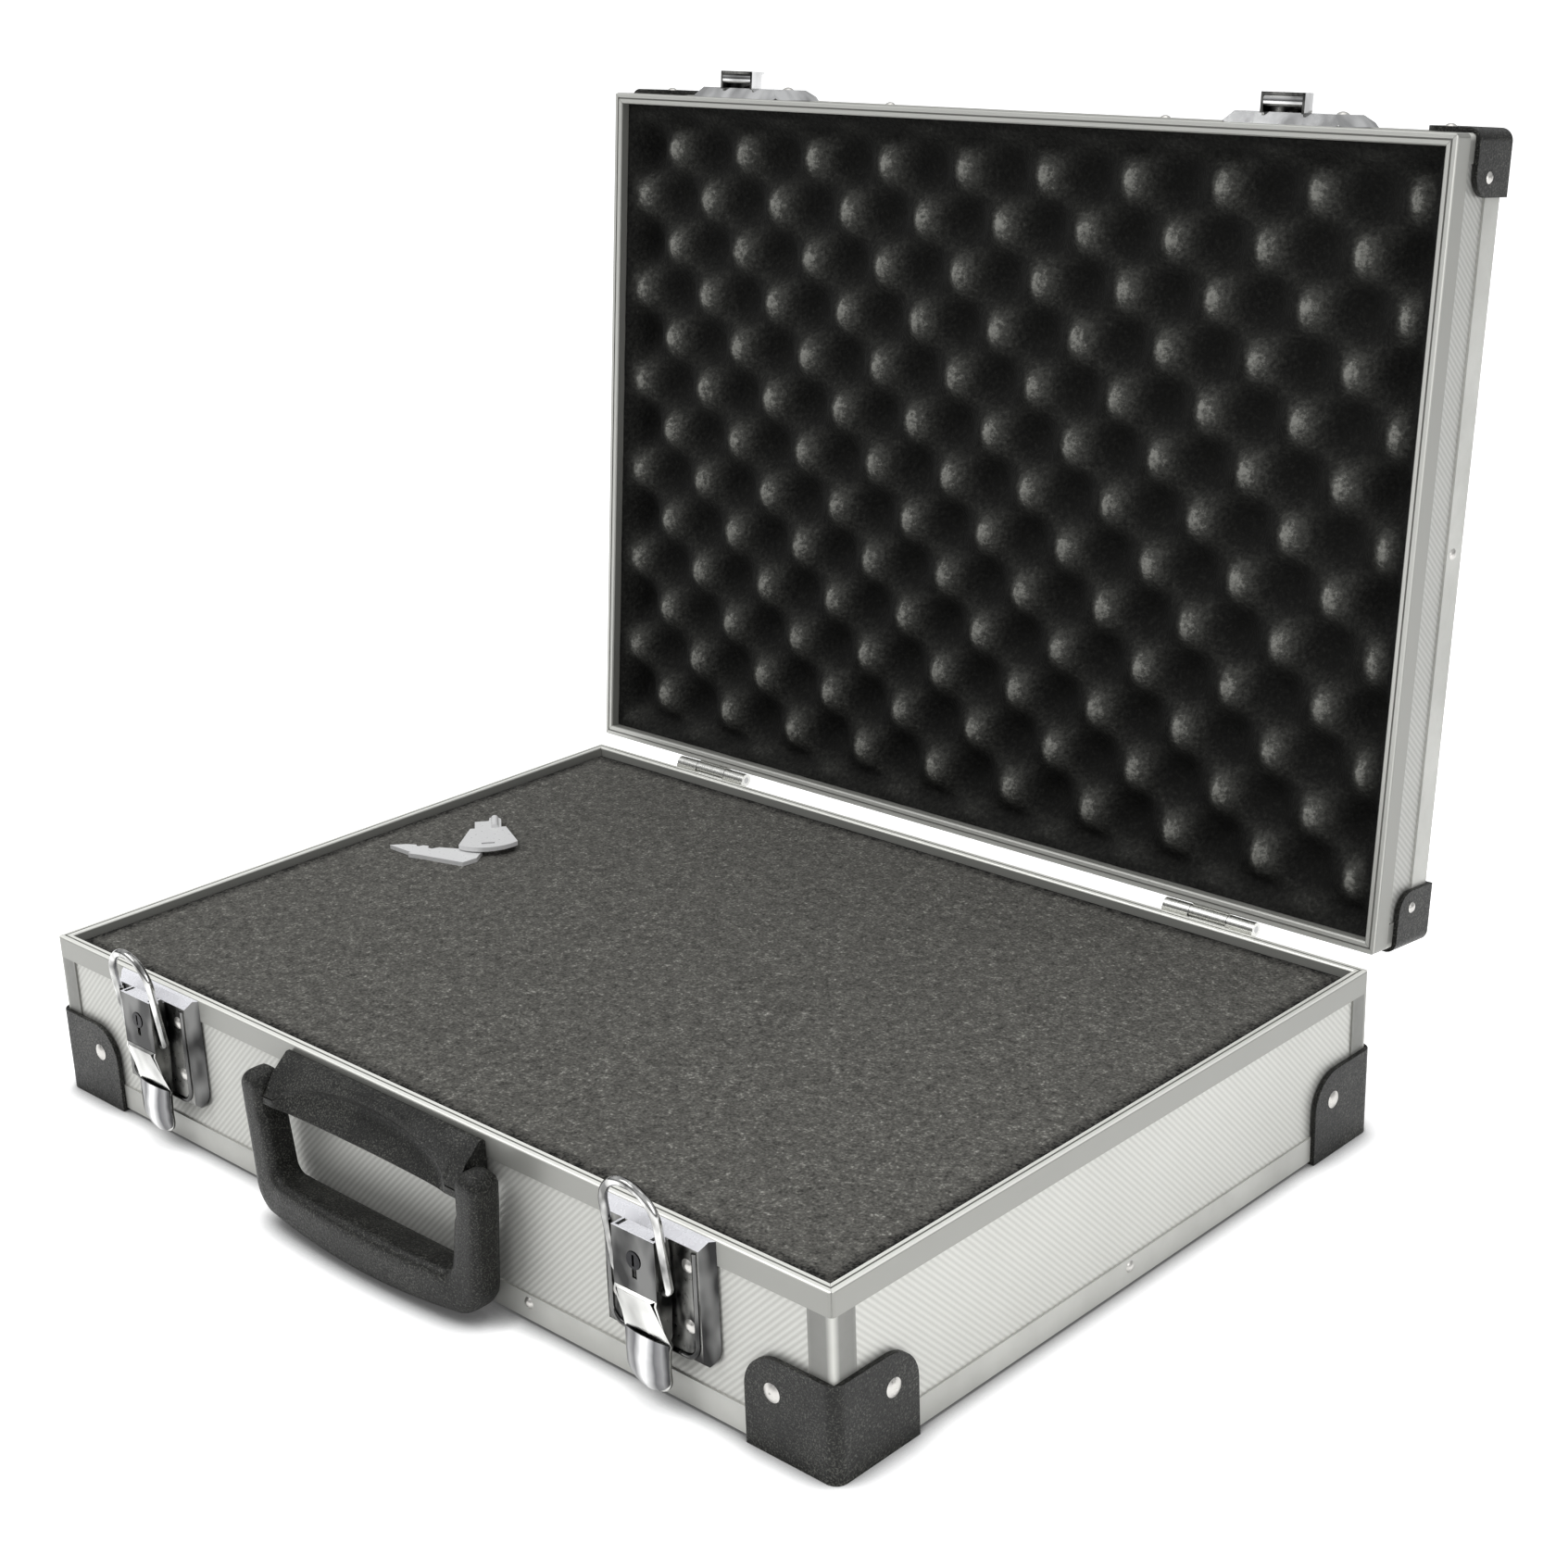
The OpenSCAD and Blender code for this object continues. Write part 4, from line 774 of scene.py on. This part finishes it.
def make_bead(side, middle, sides=12, squash=0.8):
    """The raised edge of the latch plate: down one side, round below and up the other side."""
    path = [(-BEAD_X, BEAD_Z1), (-BEAD_X, BEAD_Z0)]
    path += arc_points(-BEAD_TURN_X, BEAD_TURN_Z, BEAD_TURN_R, 180, 270, 10)
    path += arc_points(BEAD_TURN_X, BEAD_TURN_Z, BEAD_TURN_R, 270, 360, 10)
    path += [(BEAD_X, BEAD_Z0), (BEAD_X, BEAD_Z1)]
    path = [Vector((middle + x, BEAD_Y, z)) for x, z in path]
    turns = [2 * math.pi * q / sides for q in range(sides)]
    rings = []
    for k, p in enumerate(path):
        t = (path[min(k + 1, len(path) - 1)] - path[max(k - 1, 0)]).normalized()
        across = Vector((-t.z, 0, t.x))
        outward = Vector((0, squash, 0))
        rings.append([PLACE @ (p + across * (BEAD_R * math.cos(a)) + outward * (BEAD_R * math.sin(a)))
                      for a in turns])
    # The bead takes the dim painted reflection tone of the latch chrome.
    obj = ring_loft("latch_plate_bead_" + side, rings, MAT["latch_mid"], "base", None, sharp=60)


def make_nose(side, middle):
    """The rolled end of the strike's hood, which the bail hooks over."""
    rings = [[LID_PLACE @ Vector((middle + x, y * MM, z * MM)) for y, z in NOSE]
             for x in (-NOSE_HALF, NOSE_HALF)]
    hood = ring_loft("strike_nose_" + side, rings, MAT["latch"], "lid", None, sharp=50)
    zones(hood, 3, nose_zone, LID_PLACE)


for side, middle in (("left", -LATCH_X), ("right", LATCH_X)):
    make_tab_cap(side, middle)
    make_bead(side, middle)
    make_nose(side, middle)


# Foam

def grid_piece(name, nx, ny, height, back, mat, matrix):
    """A closed foam block whose upper side follows height(x, y) and whose lower side is flat."""
    bm = bmesh.new()
    rows = []
    for j in range(ny + 1):
        y = FOAM_Y0 + (FOAM_Y1 - FOAM_Y0) * j / ny
        xs = [FOAM_X0 + (FOAM_X1 - FOAM_X0) * i / nx for i in range(nx + 1)]
        rows.append([bm.verts.new((x, y, height(x, y))) for x in xs])
    for j in range(ny):
        for i in range(nx):
            bm.faces.new((rows[j][i], rows[j][i + 1], rows[j + 1][i + 1], rows[j + 1][i]))
    rim = rows[0] + [r[-1] for r in rows[1:]] + rows[-1][-2::-1] + [r[0] for r in rows[-2:0:-1]]
    low = [bm.verts.new((v.co.x, v.co.y, back)) for v in rim]
    n = len(rim)
    for k in range(n):
        bm.faces.new((rim[(k + 1) % n], rim[k], low[k], low[(k + 1) % n]))
    bm.faces.new(low[::-1])
    bmesh.ops.recalc_face_normals(bm, faces=bm.faces)
    mesh = mesh_from(name, bm)
    mesh.transform(matrix)
    obj = add_object(name, mesh, mat)
    smooth(obj, 50)
    return obj


def border(x, y):
    """Distance inwards from the nearest side of a foam block."""
    return min(x - FOAM_X0, FOAM_X1 - x, y - FOAM_Y0, FOAM_Y1 - y)


def base_height(x, y):
    """A flat top that waves a little and drops in a round at the cut edges."""
    wave = noise.noise(Vector((x * 22, y * 22, 0.3))) * 0.25 * MM
    short = max(FOAM_ROUND - border(x, y), 0)
    drop = FOAM_ROUND - math.sqrt(max(FOAM_ROUND * FOAM_ROUND - short ** 2, 0))
    return FOAM_TOP - drop + min(wave, 0)


def lid_height(x, y):
    """Egg-crate bumps that level out at the rim."""
    crate = math.cos(2 * math.pi * (x - BUMP_X) / BUMP_PITCH) * math.cos(math.pi * (y - BUMP_Y) / BUMP_ROW)
    rough = noise.noise(Vector((x * 60, y * 60, 1.7))) * 0.5 * MM
    t = min(border(x, y) / LID_EDGE, 1)
    ease = t * t * (3 - 2 * t)
    return BUMP_DROP + LID_EDGE_DROP * (1 - ease) + ease * BUMP_H * (1 - crate) / 2 + abs(rough)


base_foam = grid_piece("base_foam_block", 220, 160, base_height, FOAM_LOW, MAT["base_foam"], PLACE)
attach(base_foam, "base")
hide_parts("base_foam")

lid_foam = grid_piece("lid_foam_block", 240, 180, lid_height, LID_BACK, MAT["lid_foam"], LID_PLACE)
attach(lid_foam, "lid")
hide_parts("lid_foam")


# Camera, floor and light

def make_camera():
    """The camera that was fitted to the photo."""
    data = bpy.data.cameras.new("camera")
    data.sensor_fit = "HORIZONTAL"
    data.sensor_width = 36
    data.lens = CAM_LENS
    data.clip_start = 0.01
    camera = bpy.data.objects.new("camera", data)
    scene.collection.objects.link(camera)
    flat = math.cos(CAM_EL)
    back = Vector((math.sin(CAM_AZ) * flat, -math.cos(CAM_AZ) * flat, math.sin(CAM_EL)))
    level = (-back).cross(Vector((0, 0, 1))).normalized()
    up = level.cross(-back)
    right = math.cos(CAM_ROLL) * level + math.sin(CAM_ROLL) * up
    top = -math.sin(CAM_ROLL) * level + math.cos(CAM_ROLL) * up
    turn = Matrix((right, top, back)).transposed().to_4x4()
    turn.translation = Vector((CAM_X - WIDTH / 2, CAM_Y - Y_MID, CAM_Z))
    camera.matrix_world = turn
    scene.camera = camera


def make_floor_material():
    """White ground with a painted contact shadow, from ambient occlusion, where the case stands. Camera and
    mirror rays see it glow.
    """
    white = bpy.data.materials.new("floor_white")
    white.use_nodes = True
    white.node_tree.nodes.clear()
    m = Nodes(white.node_tree)
    plain = m.new("ShaderNodeBsdfDiffuse")
    plain.inputs["Color"].default_value = (FLOOR_WHITE, FLOOR_WHITE, FLOOR_WHITE, 1)
    near = m.new("ShaderNodeAmbientOcclusion", samples=12)
    near.inputs["Distance"].default_value = SHADOW_REACH
    open_sky = m.remap(near.outputs["AO"], SHADOW_START, 1, SHADOW_DARK, 1)
    shown = m.new("ShaderNodeBsdfDiffuse")
    m.link(open_sky, shown.inputs["Color"])
    glow = m.new("ShaderNodeEmission")
    m.link(m.math("MULTIPLY", open_sky, FLOOR_GLOW), glow.inputs["Strength"])
    path = m.new("ShaderNodeLightPath")
    sees = path.outputs["Is Camera Ray"]
    for ray in ("Is Glossy Ray", "Is Transmission Ray"):
        sees = m.math("MAXIMUM", sees, path.outputs[ray])
    add = m.new("ShaderNodeAddShader")
    m.link(shown.outputs[0], add.inputs[0])
    m.link(glow.outputs[0], add.inputs[1])
    pick = m.new("ShaderNodeMixShader")
    m.link(sees, pick.inputs["Fac"])
    m.link(plain.outputs[0], pick.inputs[1])
    m.link(add.outputs[0], pick.inputs[2])
    m.link(pick.outputs[0], m.new("ShaderNodeOutputMaterial").inputs["Surface"])
    return white


def make_world():
    """White for the camera, and for all other rays a sky that brightens upwards."""
    world = bpy.data.worlds.new("world")
    scene.world = world
    world.use_nodes = True
    world.node_tree.nodes.clear()
    m = Nodes(world.node_tree)
    height = m.split(m.new("ShaderNodeTexCoord").outputs["Generated"])[2]
    sky = m.ramp(height, [(position, (v * 0.98, v * 0.99, v, 1)) for position, v in SKY])
    lit = m.new("ShaderNodeBackground")
    lit.inputs["Strength"].default_value = SKY_STRENGTH
    m.link(sky, lit.inputs["Color"])
    seen = m.new("ShaderNodeBackground")
    seen.inputs["Color"].default_value = (1, 1, 1, 1)
    seen.inputs["Strength"].default_value = 1.0
    mix = m.new("ShaderNodeMixShader")
    m.link(m.new("ShaderNodeLightPath").outputs["Is Camera Ray"], mix.inputs["Fac"])
    m.link(lit.outputs[0], mix.inputs[1])
    m.link(seen.outputs[0], mix.inputs[2])
    m.link(mix.outputs[0], m.new("ShaderNodeOutputWorld").inputs["Surface"])


def area(name, place, aim, size, watts):
    data = bpy.data.lights.new(name, "AREA")
    data.shape = "RECTANGLE"
    data.size, data.size_y = size
    data.energy = watts
    obj = bpy.data.objects.new(name, data)
    obj.location = place
    obj.rotation_euler = (Vector(aim) - Vector(place)).to_track_quat("-Z", "Y").to_euler()
    obj.visible_camera = False
    scene.collection.objects.link(obj)


make_camera()
floor_mesh = bpy.data.meshes.new("floor")
corners = ((-1, -1), (1, -1), (1, 1), (-1, 1))
floor_mesh.from_pydata([(x * FLOOR_HALF, y * FLOOR_HALF, 0) for x, y in corners], [], [(0, 1, 2, 3)])
floor = add_object("floor", floor_mesh, make_floor_material())
make_world()
area("key_light", (-0.9, -1.3, 1.9), LAMP_AIM, size=(1.6, 1.2), watts=21)
area("fill_light", (2.1, -0.3, 1.0), LAMP_AIM, size=(1.4, 1.2), watts=0.6)
area("near_light", (0.78, -0.2, 0.4), (0.2, -0.15, 0.05), size=(0.4, 0.4), watts=1.2)
area("top_light", (0.1, 0.2, 2.2), LAMP_AIM, size=(1.6, 1.6), watts=12)
